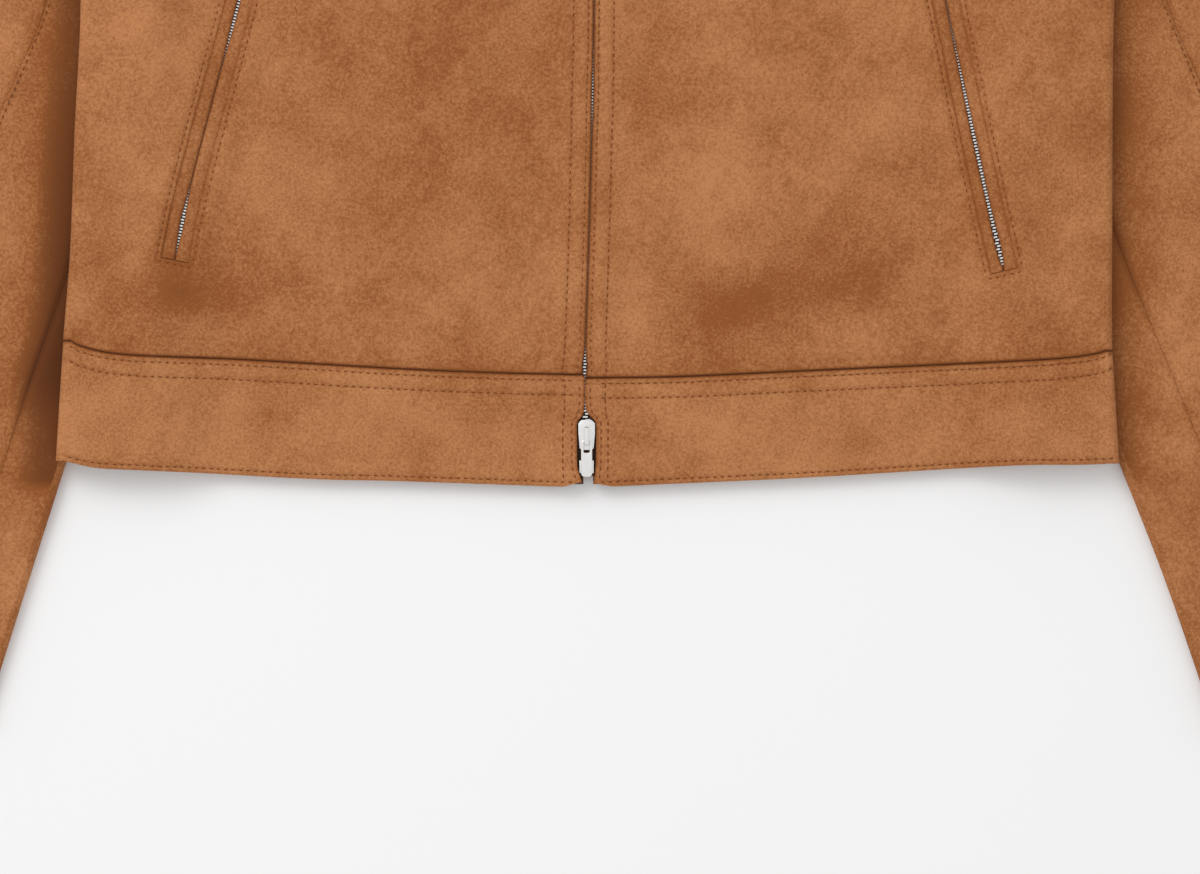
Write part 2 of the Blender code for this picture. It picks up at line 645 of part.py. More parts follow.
def fold_arc(edge, beside, start, end, steps):
    """Points and outward vectors round a sleeve's fold, from one face to the other."""
    away = -inward(edge, beside)
    base = sleeve_lift(edge) + FOLD
    arcs, ways = [], []
    for angle in np.radians(np.linspace(start, end, steps + 1))[1:-1]:
        plan = edge + FOLD * math.sin(angle) * away
        arcs.append(np.column_stack([plan, base + FOLD * math.cos(angle)]))
        ways.append(np.column_stack([math.sin(angle) * away, np.full(len(away), math.cos(angle))]))
    return np.array(arcs), np.array(ways)


def top_of(grid):
    """A sleeve's upper face over plan points, with its outward vectors."""
    face = np.dstack([grid, sleeve_lift(grid) + TUBE])
    return face, np.zeros_like(face) + UP


def under_of(grid):
    face = np.dstack([grid, sleeve_lift(grid)])
    return face, np.zeros_like(face) - UP


def make_sleeve(side):
    """One sleeve: outer, middle and under pieces round a laid tube."""
    stops = ARMHOLE_STATIONS

    def rail(table, index):
        rows = table[side] if isinstance(table, dict) else table
        return through([tuple(armhole_point(stops[index]))] + list(rows))

    inner = rail(inset_rows(SLEEVE_INNER[side], FOLD), 0)
    under = rail(UNDER_SEAM, AT_UNDER)
    seam = rail(OUTER_SEAM, AT_OUTER)
    elbow = rail(ELBOW_SEAM, AT_ELBOW)
    outer = rail(inset_rows(SLEEVE_OUTER, -FOLD), -1)

    top_under = sleeve_face(inner, under, stops[:AT_UNDER + 1])
    low_under = sleeve_face(elbow, inner, stops[AT_ELBOW::-1])
    turn = fold_arc(top_under[0], top_under[1], 180, 0, 6)
    place(f"sleeve_{side}_under", side, [
        under_of(seam_step(low_under, True, False)), turn,
        top_of(seam_step(top_under, False, True))])

    middle = sleeve_face(under, seam, stops[AT_UNDER:AT_OUTER + 1])
    place(f"sleeve_{side}_middle", side, [top_of(seam_step(middle, True, True))])

    top_outer = sleeve_face(seam, outer, stops[AT_OUTER:])
    low_outer = sleeve_face(outer, elbow, stops[:AT_ELBOW - 1:-1])
    turn = fold_arc(top_outer[-1], top_outer[-2], 0, 180, 6)
    place(f"sleeve_{side}_outer", side, [
        top_of(seam_step(top_outer, True, False)), turn,
        under_of(seam_step(low_outer, False, True))])


def inset_rows(rows, distance):
    """A table's line moved sideways, as rows."""
    return [tuple(row) for row in shifted(np.array(rows, float), distance)]


def place(name, side, parts):
    """A sleeve panel from its faces and folds, on its own side of the jacket."""
    outer = np.concatenate([face for face, _ in parts]) * (sign_of(side), 1.0, 1.0)
    away = np.concatenate([way for _, way in parts]) * (sign_of(side), 1.0, 1.0)
    sheet(name, outer, "suede", side == "left", away)


# Pockets and zips


def strip(line, shares, offsets):
    """Plan points beside a line: a row of offsets for each share of its length."""
    grid = []
    for share, row in zip(shares, offsets):
        spot = along(line, [share])[0]
        ahead = along(line, [min(share + 0.01, 1.0)])[0] - along(line, [max(share - 0.01, 0.0)])[0]
        ahead /= np.linalg.norm(ahead)
        beside = np.array((ahead[1], -ahead[0]))
        grid.append([spot + beside * offset for offset in row])
    return np.array(grid)


def make_pocket(side):
    """A slanted pocket: two lips in the front's window over a zip, with its slider and pull."""
    line = POCKET_LINES[side]
    run = lengths(line)[-1]
    slider_share = 1 - (SLIDER_LENGTH / 2 + 3.0) / run
    shares = np.concatenate([
        np.linspace(SEAM / run, 0.8, 9), (0.83, 0.86, 0.9, 0.95, 1 - SEAM / run)])
    opening = SLIT + (SLIDER_SLIT - SLIT) * smooth((shares - 0.80) / 0.06)
    for lip, way in (("inner", -sign_of(side)), ("outer", sign_of(side))):
        offsets = [np.linspace(gap, LIP - SEAM / 2, 3) * way for gap in opening]
        plan = strip(line, shares, offsets)
        height = body_top(plan[..., 0], plan[..., 1]) - LIP_RECESS
        sheet(f"pocket_{side}_lip_{lip}", np.dstack([plan, height]), "suede", way > 0)
    shares = np.linspace(0, 1, 9)
    offsets = [np.array((-1.0, -0.45, 0.0, 0.45, 1.0)) * POCKET_TAPE] * 9
    plan = strip(line, shares, offsets)
    height = lift(plan[..., 0], plan[..., 1]) + ZIP_HEIGHT + TAPE / 2
    tape = sheet(
        f"pocket_{side}_zip_tape", np.dstack([plan, height]), "zip_tape", True, wall=TAPE)
    spot, below = along(line, [slider_share, slider_share - 0.05])
    heading = math.atan2(spot[0] - below[0], spot[1] - below[1])
    half = WEDGE / 2 + 0.5
    notch = [(-half, -SLIDER_LENGTH), (half, -SLIDER_LENGTH), (half, 40.0), (-half, 40.0)]
    combine(tape, prism(f"pocket_notch_{side}", turned(notch, spot, heading), 0.0, 20.0),
            "DIFFERENCE")
    make_slider(f"pocket_{side}", spot, heading, PULL_TILT)


def turned(outline, spot, heading):
    """An outline in a slider's own frame, in its place; heading is clockwise from +Y."""
    sine, cosine = math.sin(heading), math.cos(heading)
    return [(spot[0] + x * cosine + y * sine, spot[1] - x * sine + y * cosine) for x, y in outline]


def rounded(width, length, radius, steps=3, y_middle=0.0):
    """A rectangle with round corners, anticlockwise."""
    corners = []
    for quarter, (sx, sy) in enumerate(((1, -1), (1, 1), (-1, 1), (-1, -1))):
        for step in range(steps + 1):
            angle = math.radians(-90 + 90 * quarter + 90 * step / steps)
            corners.append((
                sx * (width / 2 - radius) + radius * math.cos(angle),
                y_middle + sy * (length / 2 - radius) + radius * math.sin(angle),
            ))
    return corners


def make_slider(name, spot, heading, tilt):
    """A zip slider with its bridge, and the pull tab that turns on a bar under the bridge."""
    half, waist = SLIDER_WIDTH / 2, SLIDER_WAIST / 2
    end = SLIDER_LENGTH / 2
    shield = [(-waist, -end + 0.8), (-waist + 0.8, -end), (waist - 0.8, -end), (waist, -end + 0.8),
              (half, 1.0), (half, end - 1.5), (half - 1.5, end), (-half + 1.5, end),
              (-half, end - 1.5), (-half, 1.0)]
    low = ZIP_HEIGHT - SLIDER_HEIGHT / 2
    high = ZIP_HEIGHT + SLIDER_HEIGHT / 2
    body = prism(f"{name}_slider", turned(shield, spot, heading), low, high)
    inside = SLIDER_HEIGHT / 2 - PLATE
    channel = [(-CHANNEL_WIDTH / 2, -10.0), (CHANNEL_WIDTH / 2, -10.0), (CHANNEL_WIDTH / 2, 10.0),
               (-CHANNEL_WIDTH / 2, 10.0)]
    slot = [(-10.0, -10.5), (10.0, -10.5), (10.0, 10.5), (-10.0, 10.5)]
    combine(body, prism(f"{name}_channel", turned(channel, spot, heading),
                        ZIP_HEIGHT - inside, ZIP_HEIGHT + inside), "DIFFERENCE")
    combine(body, prism(f"{name}_slot", turned(slot, spot, heading),
                        ZIP_HEIGHT - TAPE_SLOT / 2, ZIP_HEIGHT + TAPE_SLOT / 2), "DIFFERENCE")
    wedge = [(-WEDGE / 2, 3.2), (0.0, 1.0), (WEDGE / 2, 3.2), (WEDGE / 2, 5.6), (-WEDGE / 2, 5.6)]
    combine(body, prism(f"{name}_wedge", turned(wedge, spot, heading), low + 0.2, high - 0.2), "UNION")
    combine(body, bridge(f"{name}_bridge", spot, heading, high), "UNION")
    make_pull(name, spot, heading, tilt, high)


def bridge(name, spot, heading, base):
    """The bar over a slider's top plate that holds the pull tab."""
    top = BRIDGE_ROOM + BRIDGE_BAR
    profile = [(BRIDGE_LOW, -0.4), (BRIDGE_LOW + BRIDGE_FOOT, -0.4),
               (BRIDGE_LOW + BRIDGE_FOOT, BRIDGE_ROOM), (BRIDGE_HIGH - BRIDGE_FOOT, BRIDGE_ROOM),
               (BRIDGE_HIGH - BRIDGE_FOOT, -0.4), (BRIDGE_HIGH, -0.4),
               (BRIDGE_HIGH, top - 0.7), (BRIDGE_HIGH - 0.7, top), (BRIDGE_LOW + 0.7, top),
               (BRIDGE_LOW, top - 0.7)]
    count = len(profile)
    points = []
    for x in (-BRIDGE_WIDTH / 2, BRIDGE_WIDTH / 2):
        flat = turned([(x, y) for y, _ in profile], spot, heading)
        points += [(px, py, base + z) for (px, py), (_, z) in zip(flat, profile)]
    faces = [tuple(reversed(range(count))), tuple(range(count, 2 * count))]
    faces += [(i, (i + 1) % count, count + (i + 1) % count, count + i) for i in range(count)]
    return add_object(name, points, faces, "nickel")


def make_pull(name, spot, heading, tilt, base):
    """A pull tab: a plate with an eye, whose end bar is the hinge."""
    centre_y = -PULL_LENGTH / 2 + PULL_BAR / 2
    outline = rounded(PULL_WIDTH, PULL_LENGTH, 1.4, y_middle=centre_y)
    eye = rounded(PULL_EYE_WIDTH, PULL_EYE, 0.3, steps=1, y_middle=-(PULL_BAR + PULL_EYE) / 2)
    pivot = turned([(0.0, PULL_AXIS[0])], spot, heading)[0]
    origin = (pivot[0], pivot[1], base + PULL_AXIS[1])
    rise = math.radians(tilt)

    def solid(node, edge, thick):
        count = len(edge)
        points = []
        for z in (-thick / 2, thick / 2):
            for x, y in edge:
                flat = (x, y * math.cos(rise) + z * math.sin(rise))
                height = -y * math.sin(rise) + z * math.cos(rise)
                (px, py), = turned([flat], pivot, heading)
                points.append((px, py, origin[2] + height))
        faces = [tuple(reversed(range(count))), tuple(range(count, 2 * count))]
        faces += [(i, (i + 1) % count, count + (i + 1) % count, count + i) for i in range(count)]
        return add_object(node, points, faces, "nickel", origin)

    pull = solid(f"{name}_pull", outline, PULL_THICK)
    combine(pull, solid(f"{name}_eye", eye, 3 * PULL_THICK), "DIFFERENCE")


def block_at(name, x, y, z):
    """A plain block between low and high values of X, Y and Z."""
    outline = [(x[0], y[0]), (x[1], y[0]), (x[1], y[1]), (x[0], y[1])]
    return prism(name, outline, *z)


def make_front_zip():
    """The open-ended front zip: tapes, retaining box, pin and two sliders."""
    rows = np.concatenate([(TAPE_LOW, 15.9, 16.1, 30.0, 40.0), np.linspace(60, TAPE_HIGH, 9)])
    for side in ("left", "right"):
        way = sign_of(side)
        pinned = (rows < 16.0) & (side == "left")
        inner = zip_x(rows) + way * np.where(pinned, TAPE_PINNED, TAPE_INNER)
        outer = zip_x(rows) + way * TAPE_OUTER
        plan = np.array([np.column_stack([x, rows]) for x in (inner, outer)])
        height = np.full(plan.shape[:2], ZIP_HEIGHT + TAPE / 2)
        sheet(f"zip_tape_{side}", np.dstack([plan, height]), "zip_tape", side == "right",
              wall=TAPE)
    middle = float(zip_x(BOX_LOW))
    box = block_at("zip_box", (middle - BOX_WIDTH / 2, middle + BOX_WIDTH / 2),
                   (BOX_LOW, BOX_HIGH), (ZIP_HEIGHT - BOX_THICK / 2, ZIP_HEIGHT + BOX_THICK / 2))
    beyond = (BOX_LOW - 1.0, BOX_HIGH + 1.0)
    tape_room = (ZIP_HEIGHT - TAPE_SLOT / 2, ZIP_HEIGHT + TAPE_SLOT / 2)
    pin_room = (ZIP_HEIGHT - PIN_THICK / 2 - SEAM, ZIP_HEIGHT + PIN_THICK / 2 + SEAM)
    post = TAPE_INNER - SEAM
    combine(box, block_at("box_slot_right", (middle - BOX_WIDTH, middle - post), beyond,
                          tape_room), "DIFFERENCE")
    combine(box, block_at("box_slot_left", (middle + TAPE_PINNED - SEAM, middle + BOX_WIDTH),
                          beyond, tape_room), "DIFFERENCE")
    combine(box, block_at("box_hole", (middle + post, middle + TAPE_PINNED), beyond, pin_room),
            "DIFFERENCE")
    block_at("zip_pin", (middle + TAPE_INNER, middle + TAPE_PINNED - SEAM), (BOX_LOW + 0.4, 15.8),
             (ZIP_HEIGHT - PIN_THICK / 2, ZIP_HEIGHT + PIN_THICK / 2))
    make_slider("zip_lower", (float(zip_x(SLIDER_LOW)), SLIDER_LOW), 0.0, 0.0)
    make_slider("zip_upper", (float(zip_x(SLIDER_HIGH)), SLIDER_HIGH), 0.0, PULL_TILT)


# Place the whole jacket


def centre_on_surface():
    """Move everything so that the origin is under the middle of the jacket's box."""
    bpy.context.view_layer.update()
    graph = bpy.context.evaluated_depsgraph_get()
    corners = []
    for item in bpy.context.scene.objects:
        if item.hide_render:
            continue
        shape = item.evaluated_get(graph)
        corners += [shape.matrix_world @ vertex.co for vertex in shape.data.vertices]
    corners = np.array(corners)
    low, high = corners.min(axis=0), corners.max(axis=0)
    move = np.array(((low[0] + high[0]) / 2, (low[1] + high[1]) / 2, low[2]))
    for item in bpy.context.scene.objects:
        item.location = np.array(item.location) - move


def main():
    for item in list(bpy.data.objects):
        bpy.data.objects.remove(item)
    for side in ("left", "right"):
        make_front(side)
        make_sleeve(side)
        make_pocket(side)
    make_back()
    make_band()
    make_collar()
    make_front_zip()
    centre_on_surface()


main()
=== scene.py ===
"""The looks of a cropped suede zip jacket, laid flat on its back.

Lengths are in millimetres on the jacket's own pattern: X from its middle, counted outwards where a
table says so, Y up from the hem, and Z up off the surface. The wearer's left is at +X.
"""

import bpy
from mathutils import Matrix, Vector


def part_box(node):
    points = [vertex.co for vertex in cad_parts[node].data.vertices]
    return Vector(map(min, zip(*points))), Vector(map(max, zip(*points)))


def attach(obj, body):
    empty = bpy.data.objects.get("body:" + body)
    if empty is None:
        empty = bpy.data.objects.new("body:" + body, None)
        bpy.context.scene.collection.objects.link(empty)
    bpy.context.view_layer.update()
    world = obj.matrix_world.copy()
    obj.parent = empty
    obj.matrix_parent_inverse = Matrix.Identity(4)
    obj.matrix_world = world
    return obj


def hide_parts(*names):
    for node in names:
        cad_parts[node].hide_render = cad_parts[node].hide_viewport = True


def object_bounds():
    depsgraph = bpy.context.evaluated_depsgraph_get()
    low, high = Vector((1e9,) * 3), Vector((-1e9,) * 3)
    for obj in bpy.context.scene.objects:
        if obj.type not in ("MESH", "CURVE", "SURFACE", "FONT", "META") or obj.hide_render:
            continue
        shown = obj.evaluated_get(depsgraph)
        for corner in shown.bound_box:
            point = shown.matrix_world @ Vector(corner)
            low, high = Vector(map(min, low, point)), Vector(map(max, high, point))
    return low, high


bl_info = {
    "name": "Suede Zip Jacket",
    "version": (1, 0, 0),
    "blender": (4, 5, 0),
    "location": "View3D > Sidebar > Jacket",
    "description": "Builds the suede, stitching and zips of a jacket round its fixed frame",
    "category": "Object",
}

import math

import bmesh
import bpy
import numpy as np

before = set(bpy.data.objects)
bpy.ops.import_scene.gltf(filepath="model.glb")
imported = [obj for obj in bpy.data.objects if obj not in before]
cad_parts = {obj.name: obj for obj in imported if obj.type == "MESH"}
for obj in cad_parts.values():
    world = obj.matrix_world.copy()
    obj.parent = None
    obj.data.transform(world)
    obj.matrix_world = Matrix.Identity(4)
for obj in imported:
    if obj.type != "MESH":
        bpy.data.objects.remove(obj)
cad_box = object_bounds()

MM = 0.001
UP = np.array((0.0, 0.0, 1.0))
SIDES = ("left", "right")
BODY = "jacket"

# Cloth
SUEDE = 2.0  # one layer of suede with its fused backing
SLACK = 3.0  # air between the two layers
SEAM = 0.12  # gap between neighbouring pieces, as they close up when the suede is pressed
TUBE = 2 * SUEDE + SLACK  # height of a laid tube
FOLD = TUBE / 2  # radius of a fold's outer face
LIFT = 7.8  # how far the body's sides rise over the sleeves
LIFT_START, LIFT_END = 158.0, 196.0  # distance from the centre where that rise starts and ends
LIFT_TOP, LIFT_FADE = 332.0, 80.0  # height where it starts to fade, and over how far
FRONT_WRAP = 125.0  # degrees of the side fold that the front covers
SHOULDER_WRAP = 87.5  # degrees of the shoulder fold that each layer covers
SEAM_ANGLE = math.degrees(SEAM / (FOLD - 0.75 * SUEDE))

# Front zip and the ridge that it makes
ZIP_HEIGHT = 4.6  # middle of the tape above the surface
TAPE = 0.6
TAPE_INNER, TAPE_OUTER = 1.4, 13.0
TAPE_PINNED = 2.9  # inner edge of the tape beside the pins
RIDGE, RIDGE_FLAT, RIDGE_FADE = 1.1, 3.6, 16.0
EDGE_GAP = 0.6  # from the zip's line to each front's edge
TAPE_LOW, TAPE_HIGH = 1.3, 520.0

# Outline
NECK_RADIUS, NECK_TOP = 75.0, 560.0
SHOULDER_TIP = (205.0, 520.0)
COLLAR, COLLAR_SIDE, COLLAR_TOP_DIP = 42.0, 68.0, 6.0
BACK_NECK_DIP = 10.0
ARMPIT_FADE = 25.0  # length over which the side fold opens out into the armhole
ARMPIT = (232.0, 328.0)
BAND_DROP = 0.3  # how far the waistband lies below the fronts

# Pockets
LIP = 6.0  # from the slit to the window's edge
LIP_RECESS = 0.3
SLIDER_SLIT = 4.4
POCKET_RIDGE_FLAT = 6.3
POCKET_TAPE = 11.0

# Sliders
SLIDER_LENGTH = 13.2
SLIDER_LOW, SLIDER_HIGH = 22.9, 514.0  # middles of the two front sliders

# Tables: X and Y of the laid jacket, from the middle of the hem, with X counted outwards.
# Side fold of the body, hem to armpit.
SIDE = {
    "left": [(232.3, 10.5), (231.5, 38.0), (229.3, 61.0), (229.3, 126.0), (229.6, 188.0),
             (230.6, 232.0), (231.2, 285.0), ARMPIT],
    "right": [(234.5, 12.5), (232.6, 45.0), (231.0, 68.0), (228.2, 104.0), (226.2, 157.0),
              (223.6, 214.0), (226.0, 268.0), ARMPIT],
}
# Armhole, armpit to shoulder tip.
ARMHOLE = [ARMPIT, (214.5, 424.0), SHOULDER_TIP]
# Seam between the fronts and the waistband.
WAIST = {
    "left": [(1.0, 48.0), (40.0, 48.6), (92.4, 51.0), (171.6, 54.6), (205.0, 56.4), (222.0, 58.6),
             (229.3, 61.4)],
    "right": [(0.0, 49.3), (40.0, 50.2), (83.6, 52.0), (154.0, 56.1), (202.8, 58.1), (223.0, 61.8),
              (231.2, 67.0)],
}
# Lower edge of the waistband.
HEM = {
    "left": [(0.0, -0.3), (26.4, 1.0), (92.4, 4.0), (180.4, 9.2), (215.0, 9.8), (232.3, 10.5)],
    "right": [(0.0, 0.0), (8.8, 0.0), (83.6, 2.6), (118.8, 3.4), (171.6, 6.2), (198.0, 7.4),
              (217.8, 8.6), (234.5, 12.5)],
}
# The waistband's inner edge beside the front zip, hem to waist seam: X is signed here.
BAND_EDGE = {
    "left": [(1.6, 1.4), (2.4, 5.0), (2.9, 11.0), (3.0, 20.0), (2.9, 28.0), (0.2, 31.5),
             (-1.5, 35.0), (-1.6, 48.0)],
    "right": [(-3.6, 2.0), (-4.9, 5.5), (-5.9, 10.0), (-6.0, 20.0), (-5.9, 28.0), (-3.6, 31.5),
              (-2.9, 35.0), (-2.8, 49.3)],
}
# The front zip's line: X at each Y.
ZIP_LINE = [(-1.5, 0.0), (-1.5, 16.0), (-1.5, 30.0), (-2.2, 42.0), (-2.2, 56.0), (0.0, 126.0),
            (1.8, 214.0), (1.6, 320.0), (0.0, 420.0), (0.0, 480.0), (0.0, 530.0)]
# The pockets' slits, low end to high end.
POCKET = {
    "left": [(181.7, 94.9), (172.6, 135.1), (156.2, 214.3), (149.5, 250.0)],
    "right": [(182.2, 99.7), (174.7, 135.1), (154.0, 214.3), (145.5, 250.0)],
}
# Folds and seams of the sleeves, armhole to cuff. The inner fold runs under the body.
SLEEVE_INNER = {
    "left": [(236.5, 314.0), (238.0, 303.0), (236.5, 290.0), (229.0, 262.0), (219.0, 235.0),
             (210.0, 208.0), (204.0, 175.0), (202.0, 140.0), (203.0, 110.0), (211.0, 72.0),
             (229.0, 20.0), (243.3, -14.5), (268.4, -86.0), (276.5, -110.0)],
    "right": [(236.5, 314.0), (238.0, 303.0), (235.0, 289.0), (226.0, 262.0), (217.0, 235.0),
              (209.0, 208.0), (203.5, 175.0), (202.0, 140.0), (203.0, 110.0), (211.0, 72.0),
              (227.5, 20.0), (238.5, -14.5), (260.5, -86.0), (268.5, -110.0)],
}
UNDER_SEAM = {
    "left": [(244.0, 316.0), (246.0, 303.0), (244.5, 290.0), (237.0, 262.0), (227.5, 235.0),
             (219.5, 208.0), (217.0, 175.0), (220.5, 142.0), (228.8, 115.3), (242.4, 82.3),
             (251.7, 59.4), (260.9, 37.0), (268.4, 20.2), (290.0, -42.0), (304.0, -99.0)],
    "right": [(244.0, 316.0), (246.0, 303.0), (243.0, 290.0), (234.5, 262.0), (225.5, 235.0),
              (218.0, 208.0), (214.0, 172.0), (218.0, 130.0), (228.2, 97.7), (238.0, 70.8),
              (245.0, 50.6), (252.0, 26.8), (257.8, 5.7), (281.0, -60.0), (296.0, -100.0)],
}
OUTER_SEAM = {
    "left": [(251.0, 318.0), (252.5, 304.0), (251.5, 290.0), (249.0, 262.0), (248.5, 238.0),
             (253.4, 214.3), (268.4, 177.3), (300.0, 90.0), (326.0, 0.0), (346.0, -85.0)],
    "right": [(251.0, 318.0), (252.0, 304.0), (250.0, 290.0), (242.5, 262.0), (237.5, 238.0),
              (238.9, 214.3), (259.6, 163.7), (290.0, 90.0), (318.0, 0.0), (340.0, -85.0)],
}
SLEEVE_OUTER = [(248.0, 493.0), (288.0, 440.0), (322.0, 350.0), (346.0, 240.0), (366.0, 120.0),
                (384.0, 10.0), (394.0, -68.0)]
ELBOW_SEAM = [(258.0, 330.0), (267.0, 290.0), (275.0, 230.0), (283.0, 140.0), (301.0, 20.0),
              (323.0, -93.0)]
# Stations along the armhole seam, as fractions of its length from the armpit, and those of them
# where the sleeve's seams end.
ARMHOLE_STATIONS = np.array((0.0, 0.07, 0.22, 0.35, 0.52, 0.7, 0.86, 1.0))
AT_UNDER, AT_OUTER, AT_ELBOW = 1, 2, 3
# Stations along a sleeve, as fractions of its length.
SLEEVE_STATIONS = (0.0, 0.02, 0.045, 0.08, 0.125, 0.18, 0.25, 0.34, 0.44, 0.55, 0.68, 0.84, 1.0)
SLEEVE_DROP = 42.0  # distance over which a sleeve comes down from the armhole to the surface

# Teeth and metal
TOOTH_PITCH, TOOTH_HEIGHT = 2.73, 1.22  # the height is half a tooth's
METAL_ROUND = 0.28  # how far the rounding reaches from each hard edge of the metal

# Stitches, and the edges that they hold
STITCH_RISE = 0.08  # how far the stitches are raised off the face under them
EDGE_REST = 0.07  # from the zip's line to each front's edge where the edges almost meet
PARTINGS = [(53.0, 5.0, 0.75), (172.0, 12.0, 0.25), (480.0, 30.0, 0.4)]  # Y, reach and amount
# Where a pocket's lips part: share along the slit, reach and amount.
LIP_REST = 0.04
LIP_PARTINGS = {
    "left": [(0.07, 0.09, 0.80), (0.34, 0.25, 0.80)],
    "right": [(0.11, 0.06, 0.80), (0.72, 0.09, 0.60)],
}

# Studio
LENS = 300.0
SENSOR = 36.0
VIEW_MIDDLE = (4.4, 22.0)  # what the camera looks straight down at
LAMP_SIZE = 1.6  # metres, as the lamp's place and the floor's reach are
LAMP_PLACE = (-1.5, 1.5, 2.0)
FLOOR_REACH = 5.0

# Meshes
FOLD_STEPS = 8  # rows of faces round a fold
SETTLING = 8  # passes in which the body's grid settles between its edges
CENTRE_SPAN, SIDE_SPAN = 152.0, 50.0  # from the zip to a pocket, and on to the side
LOW_SPAN, POCKET_SPAN, HIGH_SPAN = 40.0, 155.0, 300.0  # from the waist seam upwards
START_WIDTH = 226.0  # where that settling starts: half the body's width,
START_LOW, START_HEIGHT = 50.0, 500.0  # its lowest Y and its height

# Detail of the suede: relief on the faces, in millimetres
STITCH_NEAR, STITCH_FAR = 2.2, 8.8  # rows beside the front zip, from each front's edge
BAND_NEAR, BAND_FAR = 2.6, 9.0  # rows under the waist seam
HEM_ROW = 2.2
WINDOW_ROW = 2.0
SLEEVE_ROW = 2.0
ROLL = 0.8  # how far in from a turned edge the suede rounds over
DIMPLE = 0.42  # depth that a row of stitches pulls the suede down
WALL = 1.85

# Soft creases of each front: X and Y of the middle, heading in degrees, half length, half width and
# height, with X counted outwards.
CREASES = {
    "left": [(60.0, 150.0, 38.0, 55.0, 9.0, 0.5), (105.0, 120.0, 48.0, 60.0, 10.0, -0.6),
             (135.0, 170.0, 62.0, 45.0, 9.0, 0.5), (205.0, 150.0, 86.0, 60.0, 8.0, -0.5),
             (30.0, 95.0, 30.0, 35.0, 8.0, -0.4), (85.0, 330.0, 75.0, 60.0, 12.0, 0.6),
             (150.0, 400.0, 50.0, 60.0, 14.0, -0.7), (205.0, 290.0, 110.0, 35.0, 8.0, -0.7)],
    "right": [(55.0, 130.0, 142.0, 50.0, 9.0, 0.5), (110.0, 150.0, 128.0, 55.0, 10.0, -0.6),
              (150.0, 185.0, 116.0, 45.0, 8.0, 0.5), (207.0, 110.0, 96.0, 45.0, 8.0, -0.5),
              (35.0, 190.0, 100.0, 45.0, 8.0, -0.4), (95.0, 340.0, 105.0, 60.0, 12.0, 0.6),
              (160.0, 390.0, 130.0, 60.0, 14.0, -0.7), (200.0, 300.0, 70.0, 35.0, 8.0, -0.6)],
}
# Soft folds across each sleeve: share of its length, heading, half length, half width, height.
SLEEVE_FOLDS = {
    "left": [(0.30, 25.0, 60.0, 8.0, 1.3), (0.35, 10.0, 55.0, 7.0, -1.2), (0.42, -8.0, 60.0, 9.0, 1.0),
             (0.60, 12.0, 50.0, 10.0, -0.8), (0.72, -6.0, 60.0, 11.0, 0.9), (0.86, 8.0, 45.0, 8.0, -0.7)],
    "right": [(0.28, 20.0, 55.0, 8.0, -1.1), (0.37, -12.0, 60.0, 8.0, 1.1), (0.47, 6.0, 60.0, 9.0, -0.9),
              (0.63, -10.0, 50.0, 10.0, 0.9), (0.75, 9.0, 60.0, 10.0, -0.8), (0.88, -5.0, 45.0, 8.0, 0.7)],
}
# Brushed patches of nap: X and Y, half length, half width, heading and tone (negative is darker).
NAP = [
    (-172.0, 86.0, 46.0, 10.0, 4.0, -0.55), (-110.0, 112.0, 40.0, 22.0, 40.0, -0.30),
    (-60.0, 165.0, 45.0, 20.0, 70.0, -0.25), (-140.0, 180.0, 35.0, 25.0, 60.0, 0.30),
    (-205.0, 150.0, 50.0, 14.0, 85.0, 0.35), (-95.0, 200.0, 40.0, 16.0, 150.0, -0.35),
    (-30.0, 95.0, 30.0, 18.0, 60.0, 0.25), (-85.0, 78.0, 50.0, 12.0, 5.0, 0.20),
    (-182.0, 96.0, 24.0, 9.0, 100.0, -0.40), (-150.0, 130.0, 40.0, 14.0, 110.0, 0.25),
    (62.0, 78.0, 40.0, 12.0, 10.0, -0.45), (96.0, 108.0, 60.0, 13.0, 48.0, -0.50),
    (120.0, 92.0, 34.0, 14.0, 30.0, -0.55), (70.0, 150.0, 50.0, 18.0, 60.0, 0.35),
    (130.0, 165.0, 40.0, 16.0, 55.0, 0.30), (100.0, 192.0, 45.0, 14.0, 160.0, -0.45),
    (25.0, 185.0, 40.0, 12.0, 80.0, -0.35), (205.0, 120.0, 50.0, 15.0, 95.0, 0.30),
    (190.0, 78.0, 36.0, 10.0, 170.0, -0.40), (35.0, 118.0, 36.0, 16.0, 50.0, 0.25),
    (215.0, 180.0, 40.0, 12.0, 100.0, -0.25), (-215.0, 34.0, 40.0, 14.0, 0.0, 0.20),
    (-120.0, 26.0, 60.0, 12.0, 2.0, 0.25), (100.0, 28.0, 70.0, 13.0, 178.0, 0.22),
    (200.0, 40.0, 40.0, 12.0, 170.0, -0.22), (-40.0, 34.0, 40.0, 10.0, 0.0, -0.20),
]



# Lines and heights


def smooth(value):
    """A soft step from 0 to 1."""
    value = np.clip(value, 0.0, 1.0)
    return value * value * (3.0 - 2.0 * value)


def through(rows, steps=10):
    """A dense smooth line through a table's rows (a Catmull-Rom spline)."""
    points = np.array(rows, float)
    points = np.vstack([2 * points[0] - points[1], points, 2 * points[-1] - points[-2]])
    line = []
    for i in range(1, len(points) - 2):
        before, start, end, after = points[i - 1:i + 3]
        for t in np.arange(steps) / steps:
            line.append(
                start
                + 0.5 * t * (end - before)
                + t * t * (before - 2.5 * start + 2 * end - 0.5 * after)
                + t ** 3 * (1.5 * start - 0.5 * before - 1.5 * end + 0.5 * after)
            )
    line.append(points[-2])
    return np.array(line)


def lengths(line):
    """Length along a line at each of its points."""
    steps = np.linalg.norm(np.diff(line, axis=0), axis=1)
    return np.concatenate([[0.0], np.cumsum(steps)])


